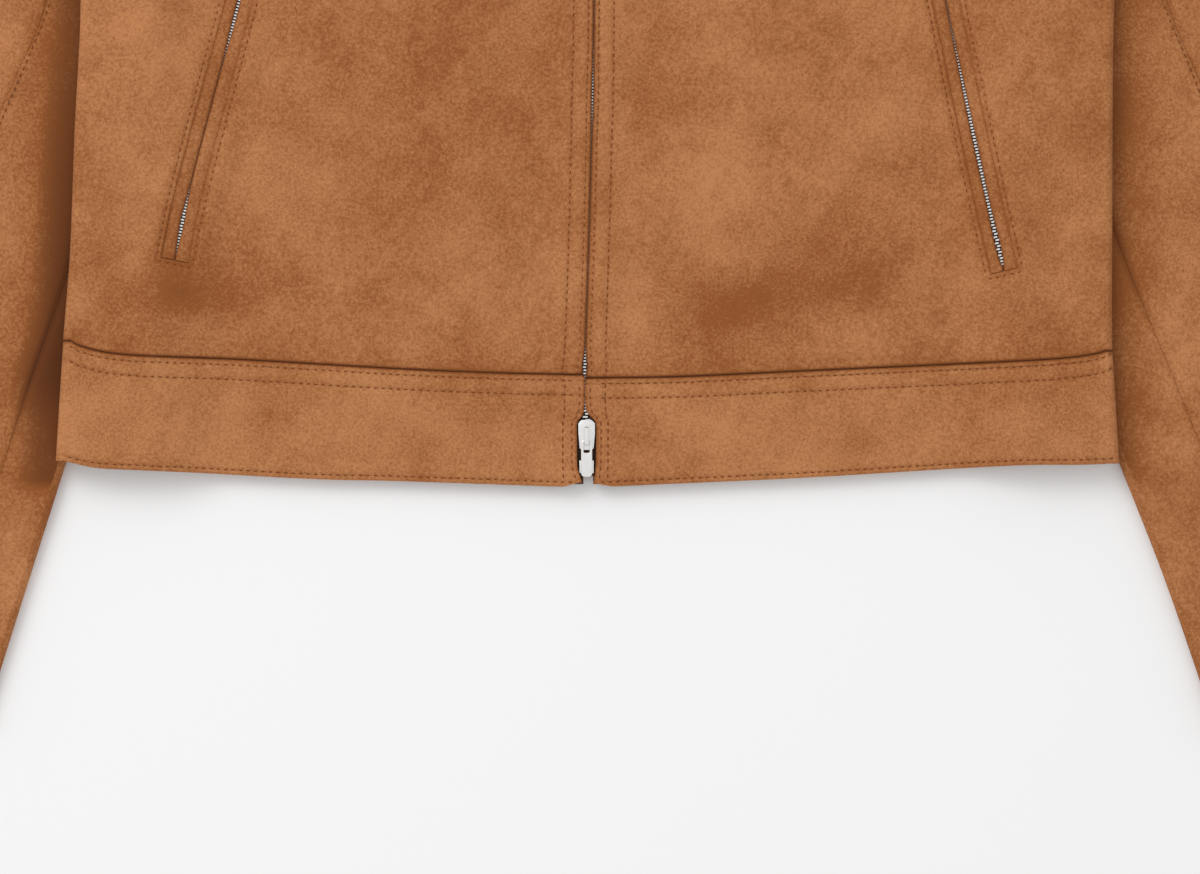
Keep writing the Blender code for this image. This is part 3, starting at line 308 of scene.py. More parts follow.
def along(line, fractions):
    """Points at fractions of a line's length."""
    run = lengths(line)
    wanted = np.asarray(fractions, float) * run[-1]
    return np.column_stack([np.interp(wanted, run, line[:, k]) for k in range(2)])


def height_on(line, x):
    """Y at X on a line that runs along X."""
    return np.interp(x, line[:, 0], line[:, 1])


def shifted(line, distance):
    """A line moved to its left by a distance."""
    run = np.gradient(line, axis=0)
    run /= np.linalg.norm(run, axis=1)[:, None]
    return line + distance * np.column_stack([-run[:, 1], run[:, 0]])


def zip_x(y):
    """X of the front zip at Y."""
    line = through(ZIP_LINE)
    return np.interp(y, line[:, 1], line[:, 0])


def sign_of(side):
    """The sign of X on a side."""
    return 1.0 if side == "left" else -1.0


def signed(points, side):
    """Points of a table that counts X outwards, on their own side of the jacket."""
    return np.array(points, float) * (sign_of(side), 1.0)


def lift(x, y):
    """How far the body's underside is above the surface."""
    sides = smooth((np.abs(x) - LIFT_START) / (LIFT_END - LIFT_START))
    return LIFT * sides * (1.0 - smooth((y - LIFT_TOP) / LIFT_FADE))


POCKET_LINES = {side: signed(through(POCKET[side]), side) for side in POCKET}


def from_pockets(x, y):
    """Distance to the nearer pocket slit."""
    slits = np.vstack(list(POCKET_LINES.values()))
    gaps = np.hypot(np.asarray(x)[..., None] - slits[:, 0], np.asarray(y)[..., None] - slits[:, 1])
    return gaps.min(axis=-1)


def ridge(x, y):
    """How far the zips under the suede push it up."""
    front = 1.0 - smooth((np.abs(x - zip_x(y)) - RIDGE_FLAT) / RIDGE_FADE)
    pocket = 1.0 - smooth((from_pockets(x, y) - POCKET_RIDGE_FLAT) / RIDGE_FADE)
    return RIDGE * np.maximum(front, pocket)


def body_top(x, y):
    """How high the body's smooth outer face is."""
    return lift(x, y) + TUBE + ridge(x, y)




def hollow(distance, width):
    """A soft dip, 1 at its middle."""
    return np.exp(-(distance / width) ** 2)


def turned_edge(distance, reach=ROLL):
    """How far a turned edge falls away near itself."""
    near = np.clip(1.0 - distance / reach, 0.0, 1.0)
    return -0.55 * reach * (1.0 - np.sqrt(np.maximum(1.0 - near ** 2, 0.0)))


def pucker(run, distance, seed):
    """Small uneven gathers along a seam, fading away from it."""
    waves = np.sin(run / 1.31 + seed) + 0.7 * np.sin(run / 2.17 + 2.3 * seed)
    waves += 0.8 * np.sin(run / 5.3 + 3.7 * seed)
    return 0.07 * waves * np.exp(-np.abs(distance) / 5.0)


def patch(x, y, middle, heading, half_length, half_width):
    """A long soft patch, 1 at its middle."""
    angle = math.radians(heading)
    ahead = (x - middle[0]) * math.cos(angle) + (y - middle[1]) * math.sin(angle)
    beside = (y - middle[1]) * math.cos(angle) - (x - middle[0]) * math.sin(angle)
    return np.exp(-(ahead / half_length) ** 2 - (beside / half_width) ** 2)


def unevenness(x, y):
    """The slight rise and fall of suede that lies loose."""
    waves = np.sin(x / 23.0 + y / 41.0) + np.sin(y / 19.0 - x / 57.0 + 1.3)
    waves += 0.8 * np.sin(x / 11.0 - y / 16.0 + 0.6) + 0.6 * np.sin(x / 8.3 + y / 9.7 + 2.1)
    return 0.16 * waves


def brushed(x, y):
    """Tone of the brushed nap at a place, from -1 to 1."""
    tone = np.zeros(np.broadcast(x, y).shape)
    for at_x, at_y, half_length, half_width, heading, amount in NAP:
        tone = tone + amount * patch(x, y, (at_x, at_y), heading, half_length, half_width)
    return tone


# Where things lie on a front


def slit_at(side, y):
    """Outward X of a pocket's slit at Y, carried on straight past its two ends."""
    line = through(POCKET[side])
    low = (line[1] - line[0])[0] / (line[1] - line[0])[1]
    high = (line[-1] - line[-2])[0] / (line[-1] - line[-2])[1]
    inside = np.interp(y, line[:, 1], line[:, 0])
    below = np.minimum(y - line[0, 1], 0.0) * low
    above = np.clip(y - line[-1, 1], 0.0, 90.0) * high
    return inside + below + above


def end_slope(side, high):
    """Slope of the window's end, which is square to its slit."""
    line = through(POCKET[side])
    step = line[-1] - line[-2] if high else line[1] - line[0]
    return -step[0] / step[1]


def side_at(side, y):
    """Outward X of the body's side fold and armhole at Y."""
    outer = np.vstack([through(SIDE[side]), through(ARMHOLE)[1:]])
    return np.interp(y, outer[:, 1], outer[:, 0])


def centre_at(side, y):
    """Outward X of a front's edge: the two edges part where the zip shows between them."""
    parted = np.zeros(np.shape(y))
    for middle, reach, amount in PARTINGS:
        parted = parted + amount * hollow(y - middle, reach)
    return sign_of(side) * zip_x(y) + EDGE_REST + parted


def top_at(x):
    """Y of a front's neck and of its shoulder fold's start at outward X."""
    neck = NECK_TOP - np.sqrt(np.maximum(NECK_RADIUS ** 2 - x ** 2, 0.0))
    slope = (SHOULDER_TIP[1] - NECK_TOP) / (SHOULDER_TIP[0] - NECK_RADIUS)
    shoulder = NECK_TOP + slope * (x - NECK_RADIUS)
    fold = FOLD * math.hypot(1.0, slope) * smooth((x - NECK_RADIUS) / 6.0)
    return np.where(x < NECK_RADIUS, neck, shoulder - fold)


def waist_at(side, x):
    """Y of the waist seam at outward X."""
    line = through(WAIST[side])
    return np.interp(x, line[:, 0], line[:, 1])


def hem_at(side, x):
    """Y of the hem at outward X."""
    line = through(HEM[side])
    return np.interp(x, line[:, 0], line[:, 1])


def from_window(side, x, y):
    """Distance outside a pocket's window, and how far a place is above the window's low end."""
    line = through(POCKET[side])
    lean = end_slope(side, False)
    square = 1.0 / math.hypot(1.0, lean)
    across = (x - slit_at(side, y)) * square
    low = (y - line[0, 1] - lean * (x - line[0, 0])) * square
    lean = end_slope(side, True)
    high = (line[-1, 1] + lean * (x - line[-1, 0]) - y) * square
    gap_x = np.abs(across) - LIP - SEAM / 2
    gap_y = np.maximum(-low, -high)
    outside = np.hypot(np.maximum(gap_x, 0.0), np.maximum(gap_y, 0.0))
    return np.where((gap_x > 0) | (gap_y > 0), outside, np.maximum(gap_x, gap_y)), low


def front_relief(side, x, y):
    """Relief of a front at outward X and Y: turned edges, rows of stitches, gathers, creases."""
    edge = x - centre_at(side, y)
    waist = y - waist_at(side, x)
    window, low = from_window(side, x, y)
    z = turned_edge(edge) + turned_edge(waist, 1.0) + turned_edge(window)
    z -= DIMPLE * (hollow(edge - STITCH_NEAR, 0.55) + 0.8 * hollow(edge - STITCH_FAR, 0.6))
    beside = (low > -3.0) * 1.0
    z -= DIMPLE * hollow(window - WINDOW_ROW, 0.55) * beside
    z += 0.22 * hollow(edge - 5.5, 2.2) + 0.25 * hollow(waist - 3.0, 2.5)
    z += 0.25 * hollow(window - 5.0, 2.5)
    z += pucker(y, edge - STITCH_FAR, 1.0) + pucker(x, waist, 2.0)
    z += pucker(y, np.maximum(window, 0.0), 3.0) * (window < 25)
    calm = smooth(edge / 14.0) * smooth(waist / 10.0) * smooth((window - 2.0) / 10.0)
    calm = calm * smooth((side_at(side, y) - FOLD - x) / 12.0) * smooth((top_at(x) - y) / 15.0)
    z += unevenness(sign_of(side) * x, y) * calm
    for at_x, at_y, heading, half_length, half_width, height in CREASES[side]:
        z += height * calm * patch(x, y, (at_x, at_y), heading, half_length, half_width)
    return z


def front_shade(side, x, y):
    """Painted shade on a front: how far its nap is darkened in the gap at its edge, along its stitch rows,
    along the waist seam and round its pocket's window.
    """
    edge = x - centre_at(side, y)
    waist = y - waist_at(side, x)
    window, _ = from_window(side, x, y)
    shade = 1.8 * hollow(edge, 0.85) + 0.45 * hollow(edge - STITCH_NEAR, 0.8)
    shade += 0.35 * hollow(edge - STITCH_FAR, 0.9) + 1.8 * hollow(waist, 0.8)
    shade += 0.30 * hollow(waist - 3.0, 4.0)
    shade += 0.85 * hollow(window, 0.6) + 0.35 * hollow(window - WINDOW_ROW, 1.1)
    return shade


def front_height(side, x, y):
    """Z of a front's outer face at outward X and Y."""
    way = sign_of(side)
    return body_top(way * x, y) + front_relief(side, x, y)


def band_relief(side, x, y):
    """Relief of a waistband front, as front_relief gives a front's."""
    top = waist_at(side, x) - y
    hem = y - hem_at(side, x)
    edge = x - band_edge_at(side, y)
    z = turned_edge(top) + turned_edge(hem) + turned_edge(edge)
    z -= DIMPLE * (hollow(top - BAND_NEAR, 0.55) + hollow(top - BAND_FAR, 0.6))
    z -= DIMPLE * (hollow(hem - HEM_ROW, 0.6) + hollow(edge - STITCH_NEAR, 0.55))
    z -= 0.7 * DIMPLE * hollow(edge - STITCH_FAR, 0.6)
    z += 0.25 * hollow(top - 5.8, 2.2) + 0.22 * hollow(hem - 5.5, 2.6)
    z += pucker(x, top - BAND_FAR, 4.0) + pucker(x, hem - HEM_ROW, 5.0)
    calm = smooth(top / 12.0) * smooth(hem / 8.0) * smooth(edge / 10.0)
    calm = calm * smooth((side_at(side, y) - FOLD - x) / 12.0)
    return z + unevenness(sign_of(side) * x + 9.0, y) * calm


def band_shade(side, x, y):
    """Painted shade on a waistband front: how far its nap is darkened under the waist seam, along its
    stitch rows, at its hem and in the gap by the zip; the band is also made a little lighter all over.
    """
    top = waist_at(side, x) - y
    hem = y - hem_at(side, x)
    edge = x - band_edge_at(side, y)
    shade = 2.2 * hollow(top, 0.9) + 0.35 * hollow(top - BAND_NEAR, 0.8) - 0.28
    shade += 0.3 * hollow(top - BAND_FAR, 0.9) + 0.35 * hollow(hem - HEM_ROW, 0.9)
    return shade + 1.3 * hollow(edge, 0.85) + 0.3 * hollow(hem, 1.5)


def band_edge_at(side, y):
    """Outward X of the waistband's edge beside the zip."""
    edge = band_edge(side)
    return np.interp(y, edge[:, 1], edge[:, 0])


def band_edge(side):
    """The waistband's edge beside the zip, drawn in where it closes over the teeth."""
    edge = through(np.array(BAND_EDGE[side]) * (sign_of(side), 1.0))
    edge[:, 0] -= 0.3 + 0.2 * smooth((edge[:, 1] - 34.0) / 4.0)
    return edge


def band_height(side, x, y):
    """Z of a waistband front's outer face at outward X and Y."""
    way = sign_of(side)
    return body_top(way * x, y) - BAND_DROP + band_relief(side, x, y)


# Meshes

zip_low, zip_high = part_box("zip_lower_slider")
OFFSET = np.array((
    (zip_low.x + zip_high.x) / 2 / MM - float(zip_x(SLIDER_LOW)),
    (zip_low.y + zip_high.y) / 2 / MM - SLIDER_LOW,
    0.0,
))


def graded(total, start, end, step, fine=0.8, run=7.0):
    """Fractions of a span, close together at the ends that are asked for."""
    marks = [0.0]
    while marks[-1] < total:
        at = marks[-1]
        near = (start and at < run) or (end and at > total - run)
        marks.append(at + (fine if near else step))
    marks = np.array(marks)
    return marks / marks[-1]


def mesh_piece(name, points, faces, material, shade=None, sharp=50.0, flat=False):
    """A new piece from points in pattern millimetres."""
    used, faces = np.unique(faces, return_inverse=True)
    faces = faces.reshape(-1, 4) if faces.ndim == 1 else faces
    points = (points[used] + OFFSET) * MM
    mesh = bpy.data.meshes.new(name)
    mesh.vertices.add(len(points))
    mesh.vertices.foreach_set("co", points.astype(np.float32).ravel())
    mesh.loops.add(faces.size)
    mesh.loops.foreach_set("vertex_index", faces.astype(np.int32).ravel())
    mesh.polygons.add(len(faces))
    mesh.polygons.foreach_set("loop_start", np.arange(0, faces.size, 4, dtype=np.int32))
    mesh.update(calc_edges=True)
    mesh.validate()
    # The shade attribute carries painted shade (in seams, gaps and under edges, and the body's painted
    # shadow on the sleeves) less the brushed nap's own tone; the suede's colour reads it.
    if shade is not None:
        layer = mesh.attributes.new("shade", "FLOAT", "POINT")
        layer.data.foreach_set("value", shade[used].astype(np.float32))
    if not flat:
        mesh.shade_smooth()
        mesh.set_sharp_from_angle(angle=math.radians(sharp))
    mesh.materials.append(material)
    piece = bpy.data.objects.new(name, mesh)
    bpy.context.scene.collection.objects.link(piece)
    return piece


def cloth(name, outer, away, material, flip, keep=None, shade=None, wall=WALL):
    """A wall of cloth from a grid of outer points, with a rim round every edge and opening."""
    columns, rows = outer.shape[:2]
    index = np.arange(columns * rows).reshape(columns, rows)
    quads = np.stack([index[:-1, :-1], index[1:, :-1], index[1:, 1:], index[:-1, 1:]], axis=-1)
    quads = (quads[keep] if keep is not None else quads).reshape(-1, 4)
    if flip:
        quads = quads[:, ::-1]
    count = columns * rows
    edges = np.concatenate([quads[:, [k, (k + 1) % 4]] for k in range(4)])
    alone = ~np.isin(edges[:, 0] * count + edges[:, 1], edges[:, 1] * count + edges[:, 0])
    rim = edges[alone]
    sides = np.stack([rim[:, 1], rim[:, 0], rim[:, 0] + count, rim[:, 1] + count], axis=-1)
    faces = np.concatenate([quads, quads[:, ::-1] + count, sides])
    inner = outer - wall * np.broadcast_to(away, outer.shape)
    points = np.concatenate([outer.reshape(-1, 3), inner.reshape(-1, 3)])
    tone = np.zeros(outer.shape[:2]) if shade is None else shade
    tone = np.concatenate([tone.ravel(), tone.ravel()])
    return mesh_piece(name, points, faces, material, tone)


def declare(piece, node, area):
    """Set a cloth piece riding on the jacket and hide the fixed part that it stands for; the area is not
    used.
    """
    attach(piece, BODY)
    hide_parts(node)


def flat_area(piece):
    """Half of a closed wall's surface, in square metres: the area of the cut."""
    return sum(face.area for face in piece.data.polygons) / 2


def folded(plan_x, plan_y, reach, angle):
    """Add the columns of a side fold, with the turn and drop of every column."""
    turn = np.concatenate([np.zeros(plan_x.shape), angle])
    drop = FOLD * (1 - np.cos(turn))
    return np.concatenate([plan_x, reach]), np.concatenate([plan_y, plan_y[-1:] + 0 * reach]), turn, drop


def between(anchors, spans, shares):
    """Places between successive anchors, each given by its span and its share of that span."""
    anchors = np.array(anchors)
    picked = np.take_along_axis(anchors, spans[None], axis=0)[0]
    after = np.take_along_axis(anchors, spans[None] + 1, axis=0)[0]
    return picked + (after - picked) * shares


def marks_of(*spans):
    """Span numbers and shares of successive spans, their shared marks counted once."""
    numbers, shares = [], []
    for number, marks in enumerate(spans):
        last = number == len(spans) - 1
        marks = marks if last else marks[:-1]
        numbers += [number] * len(marks)
        shares += list(marks)
    return np.array(numbers), np.array(shares)


def body_grid(side, across, upward, centre, wrap, front, steps=FOLD_STEPS):
    """Half the body's outer face: a grid that runs along its pocket's slit, with its folds."""
    line = through(POCKET[side])
    low, high = line[0], line[-1]
    reach = LIP + SEAM / 2
    span_x = np.broadcast_to(across[0][:, None], (len(across[0]), len(upward[0])))
    share_x = np.broadcast_to(across[1][:, None], span_x.shape)
    span_y = np.broadcast_to(upward[0][None], span_x.shape)
    share_y = np.broadcast_to(upward[1][None], span_x.shape)
    x = START_WIDTH * (span_x + share_x) / 3.0
    y = START_LOW + START_HEIGHT * (span_y + share_y) / 3.0
    for _ in range(SETTLING):
        x = between([centre(y), slit_at(side, y) - reach, slit_at(side, y) + reach,
                     side_at(side, y) - FOLD], span_x, share_x)
        ends = []
        for spot, top in ((low, False), (high, True)):
            away = x - spot[0]
            fade = 1.0 - smooth((np.abs(away) - 10.0) / 40.0)
            ends.append(spot[1] + end_slope(side, top) * away * fade)
        y_top = top_at(x) if front else NECK_TOP + 0 * x
        if not front:
            dip = BACK_NECK_DIP * np.clip(1 - (x / NECK_RADIUS) ** 2, 0, 1)
            y_top = np.where(x < NECK_RADIUS, NECK_TOP - dip, top_at(np.maximum(x, NECK_RADIUS)))
        y = between([waist_at(side, x) + SEAM / 2, ends[0], ends[1], y_top], span_y, share_y)
    columns, rows = x.shape
    rest_x = np.pad(x, ((0, steps), (0, steps)), mode="edge")
    rest_y = np.pad(y, ((0, steps), (0, steps)), mode="edge")
    place_x, place_y = rest_x.copy(), rest_y.copy()
    drop = np.zeros(rest_x.shape)
    turn_x, turn_y = drop.copy(), drop.copy()
    is_side = 1.0 - smooth((rest_y[-1] - ARMPIT[1] + ARMPIT_FADE) / ARMPIT_FADE)
    is_shoulder = smooth((rest_x[:, -1] - NECK_RADIUS) / 6.0)
    for k in range(steps):
        share = (k + 1) / steps
        angle = math.radians(wrap[0]) * share
        flat = share * (FOLD - SEAM / 2)
        place_x[columns + k] += is_side * FOLD * math.sin(angle) + (1 - is_side) * flat
        drop[columns + k] = is_side * FOLD * (1 - math.cos(angle))
        turn_x[columns + k] = is_side * angle
        angle = math.radians(wrap[1]) * share
        lift_y = is_shoulder * FOLD * math.sin(angle) + 0.02 * (k + 1)
        place_y[:, rows + k] += lift_y
        drop[:, rows + k] = np.maximum(drop[:, rows + k], is_shoulder * FOLD * (1 - math.cos(angle)))
        turn_y[:, rows + k] = is_shoulder * angle
        turn_x[:, rows + k] = 0.0
    way = sign_of(side)
    away = np.stack([way * np.sin(turn_x), np.sin(turn_y), np.cos(turn_x) * np.cos(turn_y)], axis=-1)
    return rest_x, rest_y, place_x, place_y, drop, away


def make_front(side, material):
    """A front, from the zip round its side and shoulder folds, with its pocket's window."""
    window = (LIP + SEAM / 2) * 2
    across = marks_of(graded(CENTRE_SPAN, True, True, 2.1, 0.75, 11.0),
                      np.linspace(0, 1, int(window / 1.4)),
                      graded(SIDE_SPAN, True, True, 2.1, 0.8, 7.0))
    upward = marks_of(graded(LOW_SPAN, True, True, 2.0), graded(POCKET_SPAN, True, True, 2.1),
                      graded(HIGH_SPAN, True, False, 4.5))
    rest_x, rest_y, x, y, drop, away = body_grid(
        side, across, upward, lambda v: centre_at(side, v), (FRONT_WRAP, SHOULDER_WRAP), True)
    height = front_height(side, rest_x, rest_y) - drop
    outer = np.stack([sign_of(side) * x, y, height], axis=-1)
    keep = np.ones((outer.shape[0] - 1, outer.shape[1] - 1), bool)
    in_x, in_y = across[0] == 1, upward[0] == 1
    cut = np.outer(in_x[:-1] if len(in_x) > keep.shape[0] else in_x, in_y)
    keep[:cut.shape[0], :cut.shape[1]] &= ~cut
    shade = front_shade(side, rest_x, rest_y) - brushed(sign_of(side) * rest_x, rest_y)
    name = f"front_{side}_suede"
    piece = cloth(name, outer, away, material, side == "right", keep, shade)
    declare(piece, f"front_{side}", round(flat_area(piece), 4))
    return piece


def joined(halves):
    """One grid from a left and a right half that meet in the middle."""
    (left, left_away), (right, right_away) = halves
    right[0] = left[0] = (left[0] + right[0]) / 2
    outer = np.concatenate([right[::-1], left[1:]])
    return outer, np.concatenate([right_away[::-1], left_away[1:]])


def make_back(material):
    """The back: one panel from side fold to side fold."""
    halves = []
    for side in SIDES:
        across = marks_of(graded(150.0, False, False, 5.0), np.linspace(0, 1, 4),
                          graded(SIDE_SPAN, False, True, 4.0, 2.0))
        upward = marks_of(graded(LOW_SPAN, False, False, 5.0),
                          graded(POCKET_SPAN, False, False, 6.0),
                          graded(HIGH_SPAN, False, False, 7.0))
        wrap = (180.0 - FRONT_WRAP - SEAM_ANGLE, SHOULDER_WRAP)
        rest_x, rest_y, x, y, drop, away = body_grid(
            side, across, upward, lambda v: 0.0 * v, wrap, False)
        way = sign_of(side)
        z = lift(way * rest_x, rest_y) + drop
        halves.append((np.stack([way * x, y, z], axis=-1), away * (1.0, 1.0, -1.0)))
    outer, away = joined(halves)
    shade = -brushed(outer[..., 0] + 31.0, outer[..., 1] - 17.0)
    piece = cloth("back_suede", outer, away, material, True, shade=shade)
    declare(piece, "back", round(flat_area(piece), 4))
    return piece


def make_band_front(side, material, steps=FOLD_STEPS):
    """Half of the waistband's front, from the zip round the side fold."""
    across = graded(225.0, True, False, 2.1, 0.75, 12.0)
    rows = graded(50.0, True, True, 1.1, 0.7, 12.0)
    way = sign_of(side)
    edge = band_edge(side)
    high, low = through(WAIST[side]) - (0.0, SEAM / 2), through(HEM[side])
    inner = along(edge, rows)
    inner[-1, 1] = height_on(high, inner[-1, 0])
    far = (1 - rows) * low[-1, 0] + rows * high[-1, 0]
    x = inner[:, 0] + across[:, None] * (far - FOLD - inner[:, 0])
    y = (1 - rows) * height_on(low, x) + rows * height_on(high, x)
    y += (inner[:, 1] - y[0]) * (1 - smooth((x - x[0]) / 10.0))
    angle = np.radians(FRONT_WRAP) * np.arange(1, steps + 1)[:, None] / steps
    angle = angle + 0.0 * rows
    reach = x[-1] + FOLD * np.sin(angle)
    place_x, place_y, turn, drop = folded(x, y, reach, angle)
    rest_x = np.pad(x, ((0, steps), (0, 0)), mode="edge")
    height = band_height(side, rest_x, place_y) - drop
    outer = np.stack([way * place_x, place_y, height], axis=-1)
    away = np.stack([way * np.sin(turn), 0.0 * turn, np.cos(turn)], axis=-1)
    shade = band_shade(side, rest_x, place_y) - brushed(way * rest_x, place_y)
    piece = cloth(f"waistband_front_{side}_suede", outer, away, material, side == "right",
                  shade=shade)
    declare(piece, f"waistband_front_{side}", round(flat_area(piece), 5))
    return piece


def make_band_back(material, steps=FOLD_STEPS):
    """The back of the waistband, which meets its fronts in the side folds."""
    halves = []
    rows = graded(50.0, True, True, 3.0, 1.5, 6.0)
    across = graded(226.0, False, True, 5.0, 2.5, 8.0)
    angle = np.radians(180.0 - FRONT_WRAP - SEAM_ANGLE) * np.arange(1, steps + 1)[:, None] / steps
    angle = angle + 0.0 * rows
    for side in SIDES:
        way = sign_of(side)
        high = through(WAIST[side]) - (0.0, SEAM / 2)
        low = through(HEM[side]) + (0.0, 1.0)
        low[:, 1] += 4.0 * (1 - smooth(low[:, 0] / 120.0))
        far = (1 - rows) * low[-1, 0] + rows * high[-1, 0]
        x = across[:, None] * (far - FOLD)
        y = (1 - rows) * height_on(low, x) + rows * height_on(high, x)
        reach = x[-1] + FOLD * np.sin(angle)
        place_x, place_y, turn, drop = folded(x, y, reach, angle)
        rest_x = np.pad(x, ((0, steps), (0, 0)), mode="edge")
        z = lift(way * rest_x, place_y) + drop
        away = np.stack([way * np.sin(turn), 0.0 * turn, -np.cos(turn)], axis=-1)
        halves.append((np.stack([way * place_x, place_y, z], axis=-1), away))
    outer, away = joined(halves)
    piece = cloth("waistband_back_suede", outer, away, material, True)
    declare(piece, "waistband_back", round(flat_area(piece), 5))
    return piece


def collar_line(share, finer=4):
    """Outer points and outward vectors round the collar at a share of its height."""
    quarter = np.radians(np.linspace(0, 90, 12 * finer))
    turn = np.radians(np.linspace(0, 180, 3 * finer + 1))[1:-1]
    behind = np.linspace(-1, 1, 10 * finer + 1)
    reach = NECK_RADIUS + (COLLAR_SIDE - NECK_RADIUS) * share - FOLD
    gap = EDGE_GAP + (SLIDER_SLIT - EDGE_GAP) * smooth((share - 0.1) / 0.35)
    x = np.maximum(reach * np.sin(quarter), gap)
    x += 0.02 * np.arange(len(x)) * (x <= gap)
    y = NECK_TOP - NECK_RADIUS * np.cos(quarter) + SEAM + COLLAR * share
    z = TUBE + RIDGE * (1 - smooth((x - RIDGE_FLAT) / RIDGE_FADE)) + pucker(y, 2.0, 6.0)
    front = np.column_stack([x, y, z])
    fold = np.column_stack([
        reach + FOLD * np.sin(turn), np.full(len(turn), y[-1]), FOLD + FOLD * np.cos(turn)])
    dip = (BACK_NECK_DIP + (COLLAR_TOP_DIP - BACK_NECK_DIP) * share) * (1 - behind ** 2)
    back = np.column_stack([behind * reach, y[-1] + SEAM - dip, np.zeros(len(behind))])
    half = np.concatenate([front, fold])
    lean = np.column_stack([np.sin(turn), 0.0 * turn, np.cos(turn)])
    lean = np.concatenate([np.zeros_like(front) + UP, lean])
    mirror = (-1.0, 1.0, 1.0)
    return (np.concatenate([half * mirror, back, half[::-1]]),
            np.concatenate([lean * mirror, np.zeros_like(back) - UP, lean[::-1]]))


def make_collar(material):
    """The stand collar, one band round the neck."""
    rows = graded(COLLAR, True, True, 2.5, 0.8, 4.0)
    outer, away = zip(*[collar_line(share) for share in rows])
    outer = np.array(outer).transpose(1, 0, 2)
    away = np.array(away).transpose(1, 0, 2)
    relief = turned_edge(rows * COLLAR) + turned_edge((1 - rows) * COLLAR)
    relief -= DIMPLE * hollow((1 - rows) * COLLAR - HEM_ROW, 0.6)
    outer += away * relief[None, :, None]
    piece = cloth("collar_suede", outer, away, material, True)
    declare(piece, "collar", round(flat_area(piece), 5))
    return piece


# Sleeves

ARMHOLE_EDGE = shifted(through(ARMHOLE), -SEAM / 2)  # the sleeve's side of the armhole seam


def armhole_point(share):
    """A point on the sleeve's side of the armhole seam, clear of the folds at its two ends."""
    inset = FOLD / lengths(ARMHOLE_EDGE)[-1]
    return along(ARMHOLE_EDGE, [inset + share * (1 - 2 * inset)])[0]


def sleeve_lift(plan):
    """How far a sleeve's underside is above the surface: as the body is at the armhole."""
    gaps = np.linalg.norm(plan[..., None, :] - ARMHOLE_EDGE, axis=-1).min(axis=-1)
    fade = 1.0 - smooth((plan[..., 1] - LIFT_TOP) / LIFT_FADE)
    return LIFT * fade * (1.0 - smooth(gaps / SLEEVE_DROP))


def sleeve_face(first, last, places):
    """Plan points between two rails: a column for each place on the armhole."""
    stations = np.array(SLEEVE_STATIONS)
    start, end = along(first, stations), along(last, stations)
    grid = []
    for place in places:
        part = (place - places[0]) / (places[-1] - places[0])
        column = (1 - part) * start + part * end
        grid.append(column + np.outer((1 - stations) ** 4, armhole_point(place) - column[0]))
    return np.array(grid)


def inward(edge, beside):
    """Unit vectors in plan, square to a panel's edge, but along the armhole where it starts."""
    step = beside - edge
    step /= np.linalg.norm(step, axis=1)[:, None]
    run = np.gradient(edge, axis=0)
    run /= np.linalg.norm(run, axis=1)[:, None]
    square = np.column_stack([-run[:, 1], run[:, 0]])
    square *= np.sign((square * step).sum(axis=1))[:, None]
    lean = np.clip(1.0 - FINE / 0.03, 0.0, 1.0)[:, None]
    way = (1.0 - lean) * square + lean * step
    return way / np.linalg.norm(way, axis=1)[:, None]


def seam_step(grid, at_start, at_end):
    """Draw the first and last columns of a panel back from its seams."""
    start, end = inward(grid[0], grid[1]), inward(grid[-1], grid[-2])
    if at_start:
        grid[0] += SEAM / 2 * start
    if at_end:
        grid[-1] += SEAM / 2 * end
    return grid


def inset_rows(rows, distance):
    """A table's line moved sideways, as rows."""
    return [tuple(row) for row in shifted(np.array(rows, float), distance)]


FINE = np.concatenate([np.linspace(0, 0.1, 14)[:-1], np.linspace(0.1, 1.0, 150)])
COARSE_STATIONS = np.array(SLEEVE_STATIONS)


def smooth_grid(grid):
    """A sleeve face at fine stations, smooth through its coarse ones."""
    made = []
    for column in grid:
        line = through(np.column_stack([COARSE_STATIONS, column]).tolist(), 12)
        made.append(np.column_stack([np.interp(FINE, line[:, 0], line[:, k]) for k in (1, 2)]))
    return np.array(made)


def finer_places(first, last, count):
    """Places on the armhole, evenly between two of its stations."""
    return np.linspace(ARMHOLE_STATIONS[first], ARMHOLE_STATIONS[last], count)


def rails(side):
    """The folds and seams of a sleeve, armhole to cuff."""
    def rail(rows, index):
        return through([tuple(armhole_point(ARMHOLE_STATIONS[index]))] + list(rows))

    return {
        "inner": rail(inset_rows(SLEEVE_INNER[side], FOLD), 0),
        "under": rail(UNDER_SEAM[side], AT_UNDER),
        "seam": rail(OUTER_SEAM[side], AT_OUTER),
        "elbow": rail(ELBOW_SEAM, AT_ELBOW),
        "outer": rail(inset_rows(SLEEVE_OUTER, -FOLD), -1),
    }


def sleeve_relief(side, plan, edges):
    """Folds across a sleeve and the rise of its seams; edges are distances to its seams."""
    z = 0.8 * unevenness(plan[..., 0] * 1.1 + 40.0, plan[..., 1])
    outer = through(inset_rows(SLEEVE_OUTER, 0.0))
    inner = through(SLEEVE_INNER[side])
    for share, heading, half_length, half_width, height in SLEEVE_FOLDS[side]:
        middle = (along(outer, [share])[0] + along(inner, [share])[0]) / 2
        z += height * patch(plan[..., 0], plan[..., 1], middle, heading, half_length, half_width)
    calm = np.ones(z.shape)
    for distance in edges:
        calm = calm * smooth(distance / 5.0)
    z = z * calm
    for distance in edges:
        z += turned_edge(distance)
    return z


